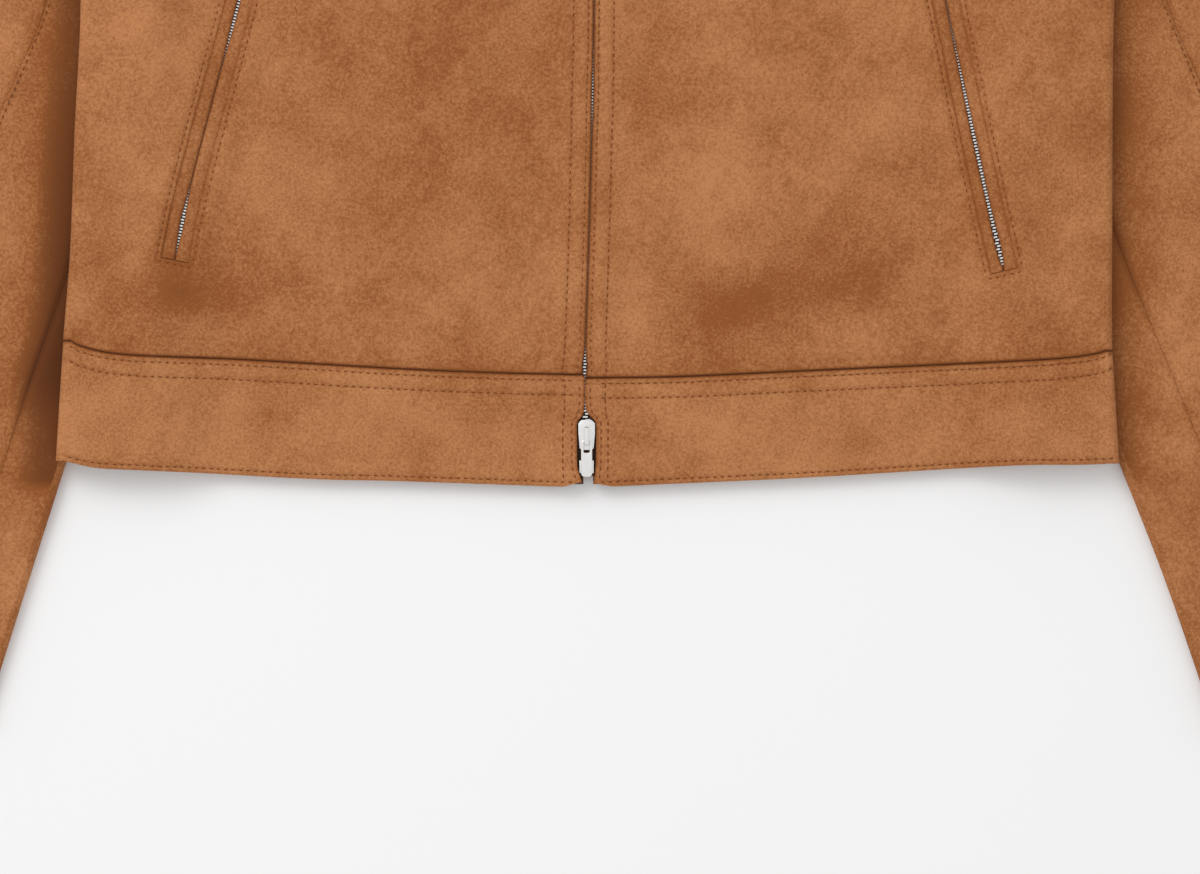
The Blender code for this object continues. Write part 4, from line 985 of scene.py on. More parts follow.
def under_shadow(side, plan):
    """Painted shadow of the body on a sleeve that lies against it, as darker nap; a little painted shade
    all over above the armpit.
    """
    beyond = plan[..., 0] - side_at(side, plan[..., 1])
    deep, reach = (1.55, 30.0) if side == "right" else (0.95, 26.0)
    shade = deep * (1.0 - smooth((beyond - 3.0) / reach)) * smooth((plan[..., 1] + 6.0) / 10.0)
    return np.where(plan[..., 1] < ARMPIT[1], shade, 0.2)


def edge_gap(grid, index):
    """Distance of each point of a grid from its first or last column."""
    return np.linalg.norm(grid - grid[index][None], axis=-1)


def panel_top(side, grid, seams):
    """Upper face of a sleeve panel, its outward vectors and its shade: the body's painted shadow and
    painted shade in its seams, less its brushed nap's tone.
    """
    edges = [edge_gap(grid, index) for index in seams]
    z = sleeve_lift(grid) + TUBE + sleeve_relief(side, grid, edges)
    shade = under_shadow(side, grid)
    # Painted shade in the sleeve's seams.
    for distance in edges:
        shade = shade + 0.4 * hollow(distance, 0.9)
    shade = shade - brushed(grid[..., 0] * sign_of(side) * 0.8 + 60.0, grid[..., 1] * 0.6 + 60.0)
    face = np.dstack([grid, z])
    return face, np.zeros_like(face) + UP, shade


def panel_under(grid):
    """Lower face of a sleeve panel, its outward vectors and its shade."""
    face = np.dstack([grid, sleeve_lift(grid)])
    return face, np.zeros_like(face) - UP, np.zeros(grid.shape[:2])


def panel_fold(edge, beside, start, end, steps, top):
    """The fold between two faces of a sleeve; top is the upper face's edge height."""
    away = -inward(edge, beside)
    base = sleeve_lift(edge) + FOLD
    extra = top - base - FOLD
    arcs, ways = [], []
    for angle in np.radians(np.linspace(start, end, steps + 1))[1:-1]:
        plan = edge + FOLD * math.sin(angle) * away
        rise = base + FOLD * math.cos(angle) + extra * (1 + math.cos(angle)) / 2
        arcs.append(np.column_stack([plan, rise]))
        ways.append(np.column_stack([math.sin(angle) * away, np.full(len(away), math.cos(angle))]))
    # Painted shade: the fold's nap is darkened a little all over.
    return np.array(arcs), np.array(ways), np.zeros((len(arcs), len(edge))) + 0.3


def sew_panel(name, side, parts, material, node):
    """One sleeve panel from its faces and folds, on its own side of the jacket."""
    outer = np.concatenate([part[0] for part in parts]) * (sign_of(side), 1.0, 1.0)
    away = np.concatenate([part[1] for part in parts]) * (sign_of(side), 1.0, 1.0)
    shade = np.concatenate([part[2] for part in parts])
    piece = cloth(name, outer, away, material, side == "left", shade=shade)
    declare(piece, node, round(flat_area(piece), 5))
    return piece


def fine_face(first, last, places):
    """The grid that sleeve_face gives, smoothed."""
    return smooth_grid(sleeve_face(first, last, places))


def make_sleeve(side, material):
    """One sleeve: outer, middle and under panels round a laid tube."""
    line = rails(side)
    top = fine_face(line["inner"], line["under"], finer_places(0, AT_UNDER, 12))
    low = fine_face(line["elbow"], line["inner"], finer_places(AT_ELBOW, 0, 14))
    low, top = seam_step(low, True, False), seam_step(top, False, True)
    face = panel_top(side, top, (-1,))
    turn = panel_fold(top[0], top[1], 180, 0, 12, face[0][0, :, 2])
    sew_panel(f"sleeve_{side}_under_suede", side, [panel_under(low), turn, face], material,
              f"sleeve_{side}_under")

    middle = seam_step(fine_face(line["under"], line["seam"],
                                 finer_places(AT_UNDER, AT_OUTER, 22)), True, True)
    sew_panel(f"sleeve_{side}_middle_suede", side, [panel_top(side, middle, (0, -1))], material,
              f"sleeve_{side}_middle")

    top = fine_face(line["seam"], line["outer"], finer_places(AT_OUTER, -1, 46))
    low = fine_face(line["outer"], line["elbow"], finer_places(-1, AT_ELBOW, 22))
    top, low = seam_step(top, True, False), seam_step(low, False, True)
    face = panel_top(side, top, (0,))
    turn = panel_fold(top[-1], top[-2], 0, 180, 12, face[0][-1, :, 2])
    sew_panel(f"sleeve_{side}_outer_suede", side, [face, turn, panel_under(low)], material,
              f"sleeve_{side}_outer")


# Pockets and zips


def strip(line, shares, offsets):
    """Plan points beside a line: a row of offsets for each share of its length."""
    spots = along(line, shares)
    ahead = along(line, np.minimum(shares + 0.01, 1.0)) - along(line, np.maximum(shares - 0.01, 0.0))
    ahead /= np.linalg.norm(ahead, axis=1)[:, None]
    beside = np.column_stack([ahead[:, 1], -ahead[:, 0]])
    return spots[:, None] + beside[:, None] * np.asarray(offsets)[..., None]


def slider_share(side):
    """Share of the way along a pocket's slit where its slider's middle is."""
    return 1 - (SLIDER_LENGTH / 2 + 3.0) / lengths(POCKET_LINES[side])[-1]


def lip_opening(side, shares):
    """Half the gap between a pocket's lips."""
    gap = LIP_REST + (SLIDER_SLIT - LIP_REST) * smooth((shares - 0.80) / 0.06)
    for middle, reach, amount in LIP_PARTINGS[side]:
        gap = gap + amount * hollow(shares - middle, reach) * smooth(shares / 0.04)
    return gap


def make_lips(side, material):
    """The two folded lips in a pocket's window."""
    line = POCKET_LINES[side]
    run = lengths(line)[-1]
    shares = np.linspace(SEAM / run, 1 - SEAM / run, 220)
    opening = lip_opening(side, shares)
    rows = np.linspace(0, 1, 9)
    for lip, way in (("inner", -sign_of(side)), ("outer", sign_of(side))):
        reach = LIP - SEAM / 2 - opening
        plan = strip(line, shares, (opening[:, None] + rows * reach[:, None]) * way)
        gap = rows * reach[:, None]
        z = body_top(plan[..., 0], plan[..., 1]) - LIP_RECESS
        z = z + turned_edge(gap, 1.5) + 0.35 * np.sin(np.pi * rows) - 0.15 * rows ** 2
        z = z + pucker(shares[:, None] * run, gap, 7.0 + way)
        # Painted shade on the lips: darker at the slit and at the window's seam, and a little darker all
        # over, the inner lip more than the outer.
        shade = 0.7 * hollow(gap, 0.7) + 0.8 * hollow(reach[:, None] - gap, 0.6)
        shade = shade + (0.45 if way < 0 else 0.15)
        outer = np.dstack([plan, z])
        piece = cloth(f"pocket_{side}_lip_{lip}_suede", outer, UP, material, way > 0, shade=shade)
        declare(piece, f"pocket_{side}_lip_{lip}",
                round(flat_area(piece), 5))


def weave(run, across):
    """The small rise and fall of a zip tape's herringbone."""
    return 0.04 * np.sin(run * 4.1 + 2.0 * np.sin(across * 2.2))


def make_pocket_tape(side, material):
    """A pocket's zip tape, with a slot along its middle from just below the slider upwards."""
    line = POCKET_LINES[side]
    run = lengths(line)[-1]
    shares = np.linspace(0, 1, 230)
    across = np.linspace(-POCKET_TAPE, POCKET_TAPE, 25)
    plan = strip(line, shares, np.broadcast_to(across, (len(shares), len(across))))
    z = lift(plan[..., 0], plan[..., 1]) + ZIP_HEIGHT + TAPE / 2
    z = z + weave(shares[:, None] * run, across)
    above = shares[:-1] > slider_share(side) - SLIDER_LENGTH / run
    keep = ~(above[:, None] & (np.abs(across[:-1] + across[1:]) / 2 < 1.9)[None])
    piece = cloth(f"pocket_{side}_tape_weave", np.dstack([plan, z]), UP, material, True, keep,
                  wall=TAPE)
    declare(piece, f"pocket_{side}_zip_tape", None)


def make_front_tape(side, material):
    """One half of the front zip's tape."""
    way = sign_of(side)
    y = np.linspace(TAPE_LOW, TAPE_HIGH, 620)
    pinned = 1 - smooth((y - 15.2) / 0.8) if side == "left" else 0.0 * y
    inner = TAPE_INNER + (TAPE_PINNED - TAPE_INNER) * pinned
    shares = np.linspace(0, 1, 14)
    across = inner[:, None] + shares * (TAPE_OUTER - inner)[:, None]
    x = zip_x(y)[:, None] + way * across
    z = ZIP_HEIGHT + TAPE / 2 + weave(y[:, None], across)
    outer = np.stack([x, y[:, None] + 0 * x, z], axis=-1).transpose(1, 0, 2)
    piece = cloth(f"zip_tape_{side}_weave", outer, UP, material, side == "right", wall=TAPE)
    declare(piece, f"zip_tape_{side}", None)


def ringed(rings):
    """Points and quads of a closed form made from rings of eight points."""
    points = np.concatenate(rings)
    count = len(rings[0])
    quads = []
    for ring in range(len(rings) - 1):
        for k in range(count):
            beside = (k + 1) % count
            quads.append((ring * count + k, ring * count + beside,
                          (ring + 1) * count + beside, (ring + 1) * count + k))
    last = (len(rings) - 1) * count
    for k in range(1, count - 2, 2):
        quads.append((k + 2, k + 1, k, 0))
        quads.append((last, last + k, last + k + 1, last + k + 2))
    return points, np.array(quads)


def tooth_form():
    """One zip tooth: a rounded block clamped on the tape, with its nose over the middle."""
    outline = np.array([(-0.85, -0.26), (-0.6, -0.42), (1.5, -0.5), (1.9, -0.35), (1.9, 0.35),
                        (1.5, 0.5), (-0.6, 0.42), (-0.85, 0.26)])
    levels = ((-TOOTH_HEIGHT, 0.78), (-TOOTH_HEIGHT * 0.75, 1.0), (TOOTH_HEIGHT * 0.75, 1.0),
              (TOOTH_HEIGHT, 0.78))
    middle = outline.mean(axis=0)
    return ringed([np.column_stack([middle + (outline - middle) * size, np.full(8, z)])
                   for z, size in levels])


def stitch_form(length, radius):
    """One stitch: thread that rises out of the suede and dips back into it, along Y."""
    turn = np.radians(np.arange(8) * 45.0)
    rings = []
    for share in (-1.0, -0.82, -0.4, 0.0, 0.4, 0.82, 1.0):
        size = radius * (0.35 if abs(share) == 1.0 else 1.0 - 0.2 * abs(share))
        sink = -radius * 1.5 * share ** 4
        rings.append(np.column_stack([
            size * np.cos(turn), np.full(8, share * length / 2), size * np.sin(turn) + sink]))
    return ringed(rings)


def repeated(name, form, places, material):
    """One piece of many like parts; a place is X, Y, Z, heading from +Y and a mirror sign."""
    points, quads = form
    spots, headings, mirrors = places[:, :3], places[:, 3], places[:, 4]
    sine, cosine = np.sin(headings)[:, None], np.cos(headings)[:, None]
    across = points[:, 0] * mirrors[:, None]
    x = spots[:, :1] + across * cosine + points[:, 1] * sine
    y = spots[:, 1:2] - across * sine + points[:, 1] * cosine
    z = spots[:, 2:3] + points[:, 2]
    all_points = np.stack([x, y, z], axis=-1).reshape(-1, 3)
    faces = []
    for number, mirror in enumerate(mirrors):
        turned = quads if mirror > 0 else quads[:, ::-1]
        faces.append(turned + number * len(points))
    return mesh_piece(name, all_points, np.concatenate(faces), material, sharp=40.0)


def make_teeth(name, line, heights, start, end, material):
    """Both rows of teeth along a zip's line, staggered as they mesh."""
    run = lengths(line)[-1]
    rows = []
    for way, shift in ((1.0, 0.0), (-1.0, TOOTH_PITCH / 2)):
        at = np.arange(start + shift, end, TOOTH_PITCH) / run
        spots = along(line, at)
        ahead = along(line, np.minimum(at + 0.004, 1)) - along(line, np.maximum(at - 0.004, 0))
        heading = np.arctan2(ahead[:, 0], ahead[:, 1])
        z = heights(spots[:, 0], spots[:, 1])
        rows.append(np.column_stack([spots, z, heading, np.full(len(at), way)]))
    piece = repeated(name, tooth_form(), np.concatenate(rows), material)
    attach(piece, BODY)


def make_metal(node, body, material):
    """A slider, pull, box or pin: its fixed form with every hard edge rounded over."""
    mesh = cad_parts[node].data.copy()
    mesh.name = f"{node}_metal"
    form = bmesh.new()
    form.from_mesh(mesh)
    bmesh.ops.remove_doubles(form, verts=form.verts, dist=0.01 * MM)
    bmesh.ops.dissolve_limit(form, angle_limit=math.radians(2), verts=form.verts, edges=form.edges)
    hard = [edge for edge in form.edges
            if len(edge.link_faces) == 2 and edge.calc_face_angle(0.0) > math.radians(35)]
    bmesh.ops.bevel(form, geom=hard, offset=METAL_ROUND * MM, offset_type="OFFSET", segments=3,
                    profile=0.5, affect="EDGES", clamp_overlap=True)
    bmesh.ops.triangulate(form, faces=[face for face in form.faces if len(face.verts) > 4])
    form.to_mesh(mesh)
    form.free()
    mesh.shade_smooth()
    mesh.set_sharp_from_angle(angle=math.radians(40))
    mesh.materials.clear()
    mesh.materials.append(material)
    piece = bpy.data.objects.new(f"{node}_metal", mesh)
    bpy.context.scene.collection.objects.link(piece)
    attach(piece, body)
    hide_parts(node)


# Stitching


def stitch_places(path, pitch):
    """Places of the stitches along a path of points on the suede."""
    path = np.array(path)
    steps = np.linalg.norm(np.diff(path, axis=0), axis=1)
    run = np.concatenate([[0.0], np.cumsum(steps)])
    at = np.arange(pitch / 2, run[-1], pitch)
    spots = np.column_stack([np.interp(at, run, path[:, k]) for k in range(3)])
    after = np.column_stack([np.interp(at + 0.8, run, path[:, k]) for k in range(2)])
    before = np.column_stack([np.interp(at - 0.8, run, path[:, k]) for k in range(2)])
    ahead = after - before
    heading = np.arctan2(ahead[:, 0], ahead[:, 1])
    return np.column_stack([spots, heading, np.ones(len(at))])


def on_face(side, x, y, height):
    """A path at outward X and Y, on a face whose height is a function of them."""
    return np.column_stack([sign_of(side) * x, y, height(side, x, y)])


def front_rows(side):
    """Rows of stitches on a front: two beside the zip and one round the pocket's window."""
    rows = []
    for offset in (STITCH_NEAR, STITCH_FAR):
        y = np.linspace(float(waist_at(side, np.array([offset]))[0]) + 1.5, 478.0, 900)
        rows.append(on_face(side, centre_at(side, y) + offset, y, front_height))
    line = through(POCKET[side])
    beyond = LIP + SEAM / 2 + WINDOW_ROW
    ahead = line[1] - line[0]
    ahead = ahead / np.linalg.norm(ahead)
    square = np.array((ahead[1], -ahead[0]))
    low = line[0] - ahead * WINDOW_ROW
    for way in (-1.0, 1.0):
        plan = strip(line, np.linspace(0, 1, 200), np.full((200, 1), beyond * way))[:, 0]
        rows.append(on_face(side, plan[:, 0], plan[:, 1], front_height))
    ends = np.linspace(-beyond, beyond, 40)[:, None]
    plan = low + square * ends
    rows.append(on_face(side, plan[:, 0], plan[:, 1], front_height))
    return rows


def band_rows(side):
    """Rows of stitches on a waistband front: two under the seam, the hem's and the edge's."""
    rows = []
    start = 4.0 if side == "left" else 7.0
    x = np.linspace(start, 229.0, 500)
    for offset in (BAND_NEAR, BAND_FAR):
        rows.append(on_face(side, x, waist_at(side, x) - offset, band_height))
    rows.append(on_face(side, x, hem_at(side, x) + HEM_ROW, band_height))
    y = np.linspace(HEM_ROW + 1.0, 45.0, 90)
    edge = band_edge_at(side, y)
    rows.append(on_face(side, edge + STITCH_NEAR, y, band_height))
    rows.append(on_face(side, 0.25 * edge + 0.75 * edge[-1] + STITCH_FAR, y, band_height))
    return rows


def sleeve_rows(side):
    """The row of stitches beside a sleeve's outer seam."""
    line = shifted(through(OUTER_SEAM[side]), -SLEEVE_ROW)
    line = line[line[:, 1] < 270.0]
    height = sleeve_lift(line) + TUBE - 0.05
    return [np.column_stack([sign_of(side) * line[:, 0], line[:, 1], height])]


def collar_rows():
    """Stitch lines below the collar's top edge, one to each side of the middle."""
    points, _ = collar_line((COLLAR - HEM_ROW) / COLLAR)
    points = points[(points[:, 2] > TUBE - 0.5)]
    return [points[points[:, 0] < 0], points[points[:, 0] > 0]]


def make_stitches(name, rows, material, sizes):
    """One piece of all the stitches in some rows."""
    places = np.concatenate([stitch_places(row, sizes.stitch_pitch / MM) for row in rows])
    places[:, 2] += STITCH_RISE
    form = stitch_form(sizes.stitch_length / MM, sizes.thread_width / MM / 2)
    piece = repeated(name, form, places, material)
    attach(piece, BODY)


# Materials


class Socket:
    """A value in a material, for sums written as plain expressions."""

    def __init__(self, finish, socket):
        self.finish = finish
        self.socket = socket

    def sum(self, operation, first, second):
        return self.finish.node("ShaderNodeMath", {"operation": operation}, {0: first, 1: second})

    def __add__(self, other):
        return self.sum("ADD", self, other)

    __radd__ = __add__

    def __sub__(self, other):
        return self.sum("SUBTRACT", self, other)

    def __rsub__(self, other):
        return self.sum("SUBTRACT", other, self)

    def __mul__(self, other):
        return self.sum("MULTIPLY", self, other)

    __rmul__ = __mul__

    def clamped(self):
        return self.finish.node(
            "ShaderNodeClamp", {}, {"Value": self, "Min": 0.0, "Max": 1.0})


class Finish:
    """A new material, with the one method that adds nodes to it."""

    def __init__(self, name):
        self.material = bpy.data.materials.new(name)
        self.material.use_nodes = True
        self.tree = self.material.node_tree
        self.shader = self.tree.nodes["Principled BSDF"]
        place = self.node("ShaderNodeTexCoord", {}, {}, "Object")
        self.place = self.node(
            "ShaderNodeVectorMath", {"operation": "SCALE"}, {0: place, "Scale": 1 / MM})

    def node(self, kind, settings, inputs, output=0):
        made = self.tree.nodes.new(kind)
        for key, value in settings.items():
            setattr(made, key, value)
        for key, value in inputs.items():
            self.feed(made.inputs[key], value)
        return Socket(self, made.outputs[output])

    def feed(self, socket, value):
        if isinstance(value, Socket):
            self.tree.links.new(value.socket, socket)
        else:
            socket.default_value = value

    def set(self, **values):
        for key, value in values.items():
            self.feed(self.shader.inputs[key.replace("_", " ")], value)

    def noise(self, size, detail=2.0, roughness=0.5, place=None):
        """Noise from 0 to 1 whose patches are about a size across, in millimetres."""
        return self.node("ShaderNodeTexNoise", {"noise_dimensions": "3D"}, {
            "Vector": place or self.place, "Scale": 1 / size, "Detail": detail,
            "Roughness": roughness})

    def stretched(self, angle, amount):
        """The place, drawn out along a direction."""
        return self.node("ShaderNodeMapping", {"vector_type": "TEXTURE"}, {
            "Vector": self.place, "Rotation": (0.0, 0.0, math.radians(angle)),
            "Scale": (amount, 1.0, 1.0)})

    def mixed(self, share, first, second):
        """A colour between two others."""
        return self.node("ShaderNodeMix", {"data_type": "RGBA"}, {0: share, 6: first, 7: second}, 2)

    def bump(self, height, distance, strength):
        return self.node("ShaderNodeBump", {}, {
            "Height": height, "Distance": distance * MM, "Strength": strength})


def suede_finish(colours):
    """Tan suede: brushed patches of nap, streaks, a fine grain, and painted shade in its seams, gaps and
    folds and beside the body.
    """
    suede = Finish("suede")
    # The shade attribute holds painted shade, less the brushed nap's own tone.
    shade = suede.node("ShaderNodeAttribute", {"attribute_name": "shade"}, {}, "Fac")
    patches = suede.noise(46.0, 3.0, 0.55)
    blotches = suede.noise(17.0, 3.0, 0.6)
    streaks = suede.noise(5.0, 3.0, 0.6, suede.stretched(62.0, 5.0))
    strokes = suede.noise(4.0, 2.0, 0.6, suede.stretched(-35.0, 4.0))
    grain = suede.noise(1.3, 3.0, 0.7)
    fibres = suede.noise(0.45, 2.0, 0.6)
    tone = (patches - 0.5) * 1.25 + (blotches - 0.5) * 0.7 + (streaks - 0.5) * 0.38
    tone = tone + (strokes - 0.5) * 0.16 + (grain - 0.5) * 2.1 + (fibres - 0.5) * 0.9
    tone = 0.5 + tone - shade * 0.48
    face = suede.mixed(tone.clamped(), (*colours.suede_dark, 1.0), (*colours.suede_light, 1.0))
    # Where the painted shade is deepest, the nap turns to the colour of deep painted shade.
    deep = ((shade - 0.75) * 0.9).clamped()
    face = suede.mixed(deep, face, (*colours.deep_painted_shade, 1.0))
    suede.set(Base_Color=face, Roughness=0.86 + (grain - 0.5) * 0.2, Sheen_Weight=0.12,
              Sheen_Roughness=0.55, Sheen_Tint=(0.80, 0.52, 0.34, 1.0), Specular_IOR_Level=0.12)
    height = grain * 0.7 + fibres * 0.4 + blotches * 0.35
    suede.set(Normal=suede.bump(height, 0.45, 0.55))
    return suede.material


def tape_finish(colours):
    """Brown woven zip tape."""
    tape = Finish("zip_tape")
    ribs = tape.node("ShaderNodeTexWave", {"wave_type": "BANDS", "bands_direction": "DIAGONAL"}, {
        "Vector": tape.place, "Scale": 0.42, "Distortion": 1.5, "Detail": 1.0})
    fluff = tape.noise(0.8, 2.0)
    tone = (ribs * 0.6 + fluff * 0.5).clamped()
    dark = tuple(channel * 0.55 for channel in colours.tape_colour)
    tape.set(Base_Color=tape.mixed(tone, (*dark, 1.0), (*colours.tape_colour, 1.0)),
             Roughness=0.8 + fluff * 0.15, Sheen_Weight=0.1,
             Normal=tape.bump(ribs * 0.8 + fluff * 0.3, 0.12, 0.7))
    return tape.material


def thread_finish(colours):
    """Twisted dark brown sewing thread."""
    thread = Finish("thread")
    twist = thread.node("ShaderNodeTexWave", {"wave_type": "BANDS", "bands_direction": "DIAGONAL"}, {
        "Vector": thread.place, "Scale": 1.1, "Distortion": 0.4})
    fluff = thread.noise(0.6, 2.0)
    pale = tuple(channel * 1.7 for channel in colours.thread_colour)
    tone = (twist * 0.6 + fluff * 0.4).clamped()
    thread.set(Base_Color=thread.mixed(tone, (*colours.thread_colour, 1.0), (*pale, 1.0)),
               Roughness=0.75 + fluff * 0.2, Specular_IOR_Level=0.1,
               Normal=thread.bump(twist, 0.06, 0.6))
    return thread.material


def nickel_finish(colours):
    """Polished nickel with a fine wear pattern."""
    nickel = Finish("nickel")
    wear = nickel.noise(2.2, 4.0, 0.6)
    scratches = nickel.noise(0.5, 2.0, 0.5, nickel.stretched(12.0, 9.0))
    bright = (*colours.metal_colour, 1.0)
    dull = tuple(channel * 0.8 for channel in colours.metal_colour)
    nickel.set(Base_Color=nickel.mixed((wear * 0.9).clamped(), bright, (*dull, 1.0)),
               Metallic=1.0, Roughness=0.2 + wear * 0.16 + scratches * 0.08,
               Normal=nickel.bump(scratches, 0.02, 0.25))
    return nickel.material


def floor_finish(colours):
    """The plain pale surface under the jacket."""
    floor = Finish("floor")
    dust = floor.noise(400.0, 2.0)
    pale = (*colours.floor_colour, 1.0)
    soft = tuple(channel * 0.99 for channel in colours.floor_colour)
    floor.set(Base_Color=floor.mixed(dust, pale, (*soft, 1.0)), Roughness=0.9,
              Specular_IOR_Level=0.1)
    return floor.material


MAKERS = {"suede": suede_finish, "zip_tape": tape_finish, "thread": thread_finish,
          "nickel": nickel_finish, "floor": floor_finish}


def finish_of(context, name):
    """The material of a name, made when it is first asked for."""
    return bpy.data.materials.get(f"jacket_{name}") or made_finish(context, name)


def made_finish(context, name):
    """Make a material in the colours that are set."""
    material = MAKERS[name](context.scene.jacket_colours)
    material.name = f"jacket_{name}"
    return material


# Settings, tools and panel


def colour(name, description, default):
    return bpy.props.FloatVectorProperty(
        name=name, description=description, default=default, subtype="COLOR", min=0.0, max=1.0)


class JacketColours(bpy.types.PropertyGroup):
    """Colours of the jacket's materials and of the floor."""

    suede_dark: colour("Dark nap", "Suede brushed against the light", (0.262, 0.082, 0.0205))
    suede_light: colour("Light nap", "Suede brushed towards the light", (0.492, 0.212, 0.084))
    # The colour of the deepest painted shade, in seams and gaps and on the sleeves beside the body.
    deep_painted_shade: colour("Seam shade", "Suede deep in a seam", (0.105, 0.030, 0.008))
    thread_colour: colour("Thread", "Sewing thread", (0.140, 0.045, 0.014))
    tape_colour: colour("Zip tape", "Woven zip tape", (0.060, 0.026, 0.013))
    metal_colour: colour("Metal", "Sliders and teeth", (0.95, 0.94, 0.92))
    floor_colour: colour("Floor", "The surface under the jacket", (0.90, 0.90, 0.90))


class JacketSizes(bpy.types.PropertyGroup):
    """Sizes of the stitches and of the studio."""

    stitch_pitch: bpy.props.FloatProperty(
        name="Stitch pitch", description="From one stitch to the next", default=3.3 * MM,
        unit="LENGTH", precision=4)
    stitch_length: bpy.props.FloatProperty(
        name="Stitch length", description="Thread that shows in one stitch", default=2.0 * MM,
        unit="LENGTH", precision=4)
    thread_width: bpy.props.FloatProperty(
        name="Thread width", description="Thickness of the thread", default=0.62 * MM,
        unit="LENGTH", precision=4)
    camera_height: bpy.props.FloatProperty(
        name="Camera height", description="From the surface to the camera", default=4.4,
        unit="LENGTH")
    sky: bpy.props.FloatProperty(
        name="Sky", description="Strength of the even light from all round", default=0.82)
    lamp_power: bpy.props.FloatProperty(
        name="Lamp", description="Power of the soft lamp", default=31.0, subtype="POWER")


class JACKET_OT_fronts(bpy.types.Operator):
    """Make the two fronts."""

    bl_idname = "jacket.fronts"
    bl_label = "Fronts"

    def execute(self, context):
        for side in SIDES:
            make_front(side, finish_of(context, "suede"))
        return {"FINISHED"}


class JACKET_OT_back(bpy.types.Operator):
    """Make the back."""

    bl_idname = "jacket.back"
    bl_label = "Back"

    def execute(self, context):
        make_back(finish_of(context, "suede"))
        return {"FINISHED"}


class JACKET_OT_waistband(bpy.types.Operator):
    """Make the waistband's two fronts and its back."""

    bl_idname = "jacket.waistband"
    bl_label = "Waistband"

    def execute(self, context):
        for side in SIDES:
            make_band_front(side, finish_of(context, "suede"))
        make_band_back(finish_of(context, "suede"))
        return {"FINISHED"}


class JACKET_OT_collar(bpy.types.Operator):
    """Make the stand collar."""

    bl_idname = "jacket.collar"
    bl_label = "Collar"

    def execute(self, context):
        make_collar(finish_of(context, "suede"))
        return {"FINISHED"}


class JACKET_OT_sleeves(bpy.types.Operator):
    """Make the two sleeves, each of three panels."""

    bl_idname = "jacket.sleeves"
    bl_label = "Sleeves"

    def execute(self, context):
        for side in SIDES:
            make_sleeve(side, finish_of(context, "suede"))
        return {"FINISHED"}


class JACKET_OT_pockets(bpy.types.Operator):
    """Make the pockets' lips."""

    bl_idname = "jacket.pockets"
    bl_label = "Pocket lips"

    def execute(self, context):
        for side in SIDES:
            make_lips(side, finish_of(context, "suede"))
        return {"FINISHED"}


class JACKET_OT_tapes(bpy.types.Operator):
    """Make the woven tapes of all three zips."""

    bl_idname = "jacket.tapes"
    bl_label = "Zip tapes"

    def execute(self, context):
        for side in SIDES:
            make_front_tape(side, finish_of(context, "zip_tape"))
            make_pocket_tape(side, finish_of(context, "zip_tape"))
        return {"FINISHED"}


class JACKET_OT_teeth(bpy.types.Operator):
    """Make the teeth of all three zips."""

    bl_idname = "jacket.teeth"
    bl_label = "Zip teeth"

    def execute(self, context):
        nickel = finish_of(context, "nickel")
        y = np.linspace(TAPE_LOW, TAPE_HIGH, 400)
        front = np.column_stack([zip_x(y), y])
        end = SLIDER_LENGTH / 2
        make_teeth("zip_front_teeth", front, lambda x, y: ZIP_HEIGHT + 0.0 * x,
                   SLIDER_LOW + end - TAPE_LOW, SLIDER_HIGH - end - TAPE_LOW, nickel)
        for side in SIDES:
            line = POCKET_LINES[side]
            last = slider_share(side) * lengths(line)[-1] - end
            make_teeth(f"pocket_{side}_teeth", line, lambda x, y: lift(x, y) + ZIP_HEIGHT,
                       3.0, last, nickel)
        return {"FINISHED"}


class JACKET_OT_metal(bpy.types.Operator):
    """Make the sliders, their pulls, the retaining box and the pin."""

    bl_idname = "jacket.metal"
    bl_label = "Sliders and pulls"

    def execute(self, context):
        nickel = finish_of(context, "nickel")
        for node in ("zip_box", "zip_pin"):
            make_metal(node, BODY, nickel)
        for name in ("zip_lower", "zip_upper", "pocket_left", "pocket_right"):
            make_metal(f"{name}_slider", BODY, nickel)
            make_metal(f"{name}_pull", f"{name}_pull", nickel)
        return {"FINISHED"}


class JACKET_OT_stitching(bpy.types.Operator):
    """Sew every row of stitches that shows."""

    bl_idname = "jacket.stitching"
    bl_label = "Stitching"

    def execute(self, context):
        thread, sizes = finish_of(context, "thread"), context.scene.jacket_sizes
        for side in SIDES:
            make_stitches(f"front_{side}_stitches", front_rows(side), thread, sizes)
            make_stitches(f"waistband_{side}_stitches", band_rows(side), thread, sizes)
            make_stitches(f"sleeve_{side}_stitches", sleeve_rows(side), thread, sizes)
        make_stitches("collar_stitches", collar_rows(), thread, sizes)
        return {"FINISHED"}


class JACKET_OT_stage(bpy.types.Operator):
    """Set out the floor, the light and the camera."""

    bl_idname = "jacket.stage"
    bl_label = "Studio"

    def execute(self, context):
        sizes = context.scene.jacket_sizes
        make_floor(finish_of(context, "floor"))
        make_light(sizes)
        make_camera(sizes)
        return {"FINISHED"}


def make_floor(material):
    """A plain floor just under the jacket."""
    reach, low = FLOOR_REACH, cad_box[0][2] - 0.1 * MM
    mesh = bpy.data.meshes.new("floor")
    corners = [(-reach, -reach, low), (reach, -reach, low), (reach, reach, low), (-reach, reach, low)]
    mesh.from_pydata(corners, [], [(0, 1, 2, 3)])
    mesh.materials.append(material)
    floor = bpy.data.objects.new("floor", mesh)
    bpy.context.scene.collection.objects.link(floor)


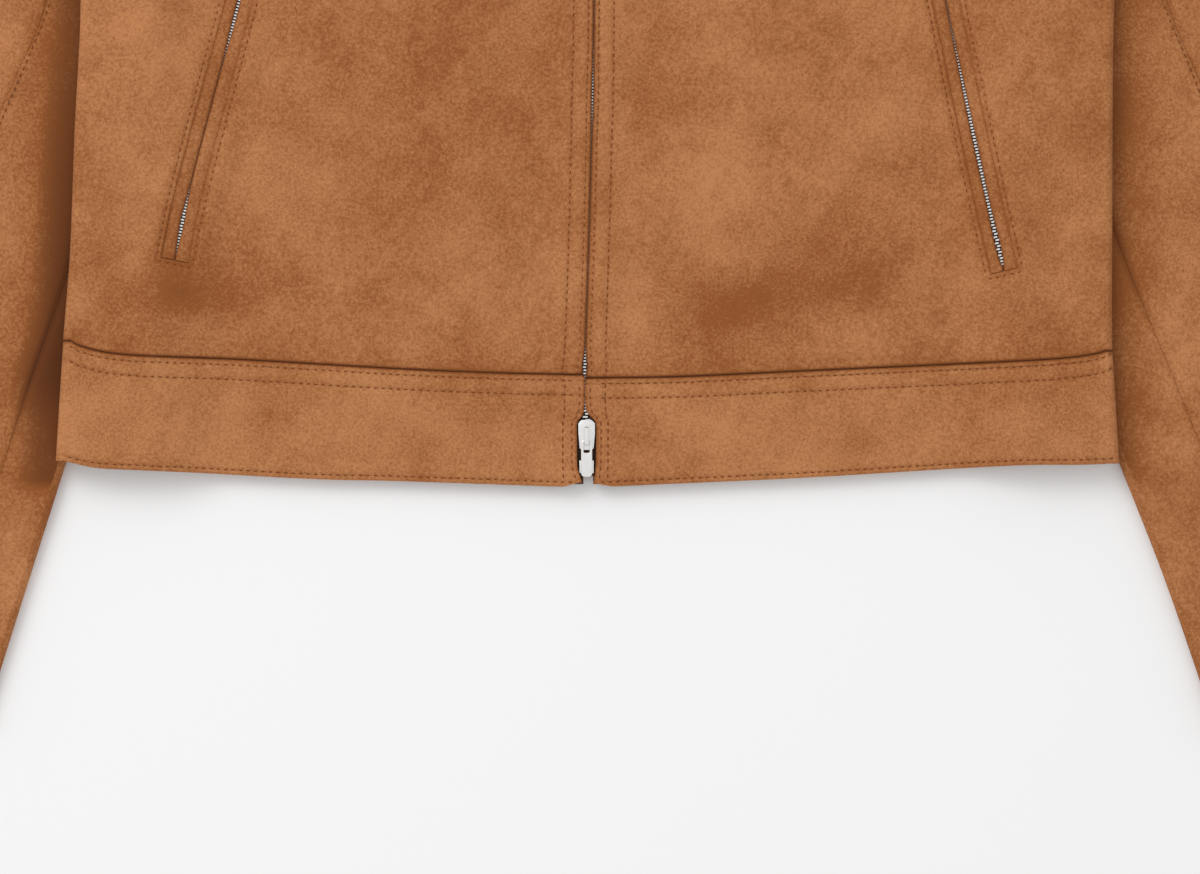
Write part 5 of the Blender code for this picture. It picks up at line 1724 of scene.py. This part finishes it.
def make_light(sizes):
    """Even light from all round, and one soft lamp."""
    world = bpy.data.worlds.new("studio")
    world.use_nodes = True
    sky = world.node_tree.nodes["Background"]
    sky.inputs["Color"].default_value = (1.0, 1.0, 1.0, 1.0)
    sky.inputs["Strength"].default_value = sizes.sky
    bpy.context.scene.world = world
    lamp = bpy.data.lights.new("soft_lamp", "AREA")
    lamp.shape = "SQUARE"
    lamp.size = LAMP_SIZE
    lamp.energy = sizes.lamp_power
    holder = bpy.data.objects.new("soft_lamp", lamp)
    holder.location = LAMP_PLACE
    holder.rotation_euler = (-holder.location).to_track_quat("-Z", "Y").to_euler()
    bpy.context.scene.collection.objects.link(holder)


def make_camera(sizes):
    """A long lens straight above the lower front."""
    lens = bpy.data.cameras.new("camera")
    lens.sensor_width = SENSOR
    lens.lens = LENS
    lens.clip_end = 20.0
    camera = bpy.data.objects.new("camera", lens)
    spot = (np.array((*VIEW_MIDDLE, 0.0)) + OFFSET) * MM
    camera.location = (spot[0], spot[1], sizes.camera_height)
    bpy.context.scene.collection.objects.link(camera)
    bpy.context.scene.camera = camera
    bpy.context.scene.view_settings.view_transform = "Standard"


TOOLS = (JACKET_OT_stage, JACKET_OT_fronts, JACKET_OT_back, JACKET_OT_waistband, JACKET_OT_collar,
         JACKET_OT_sleeves, JACKET_OT_pockets, JACKET_OT_tapes, JACKET_OT_teeth, JACKET_OT_metal,
         JACKET_OT_stitching)


class JACKET_PT_panel(bpy.types.Panel):
    """The jacket's settings and tools."""

    bl_label = "Jacket"
    bl_space_type = "VIEW_3D"
    bl_region_type = "UI"
    bl_category = "Jacket"

    def draw(self, context):
        for settings in (context.scene.jacket_sizes, context.scene.jacket_colours):
            for name in settings.__annotations__:
                self.layout.prop(settings, name)
        for tool in TOOLS:
            self.layout.operator(tool.bl_idname)


CLASSES = (JacketColours, JacketSizes, *TOOLS, JACKET_PT_panel)


def register():
    """Add the settings, tools and panel."""
    for item in CLASSES:
        bpy.utils.register_class(item)
    bpy.types.Scene.jacket_colours = bpy.props.PointerProperty(type=JacketColours)
    bpy.types.Scene.jacket_sizes = bpy.props.PointerProperty(type=JacketSizes)


def unregister():
    """Take the settings, tools and panel away."""
    del bpy.types.Scene.jacket_sizes
    del bpy.types.Scene.jacket_colours
    for item in reversed(CLASSES):
        bpy.utils.unregister_class(item)


def main():
    """Make everything."""
    register()
    for tool in TOOLS:
        group, name = tool.bl_idname.split(".")
        getattr(getattr(bpy.ops, group), name)()


if __name__ == "__main__":
    main()
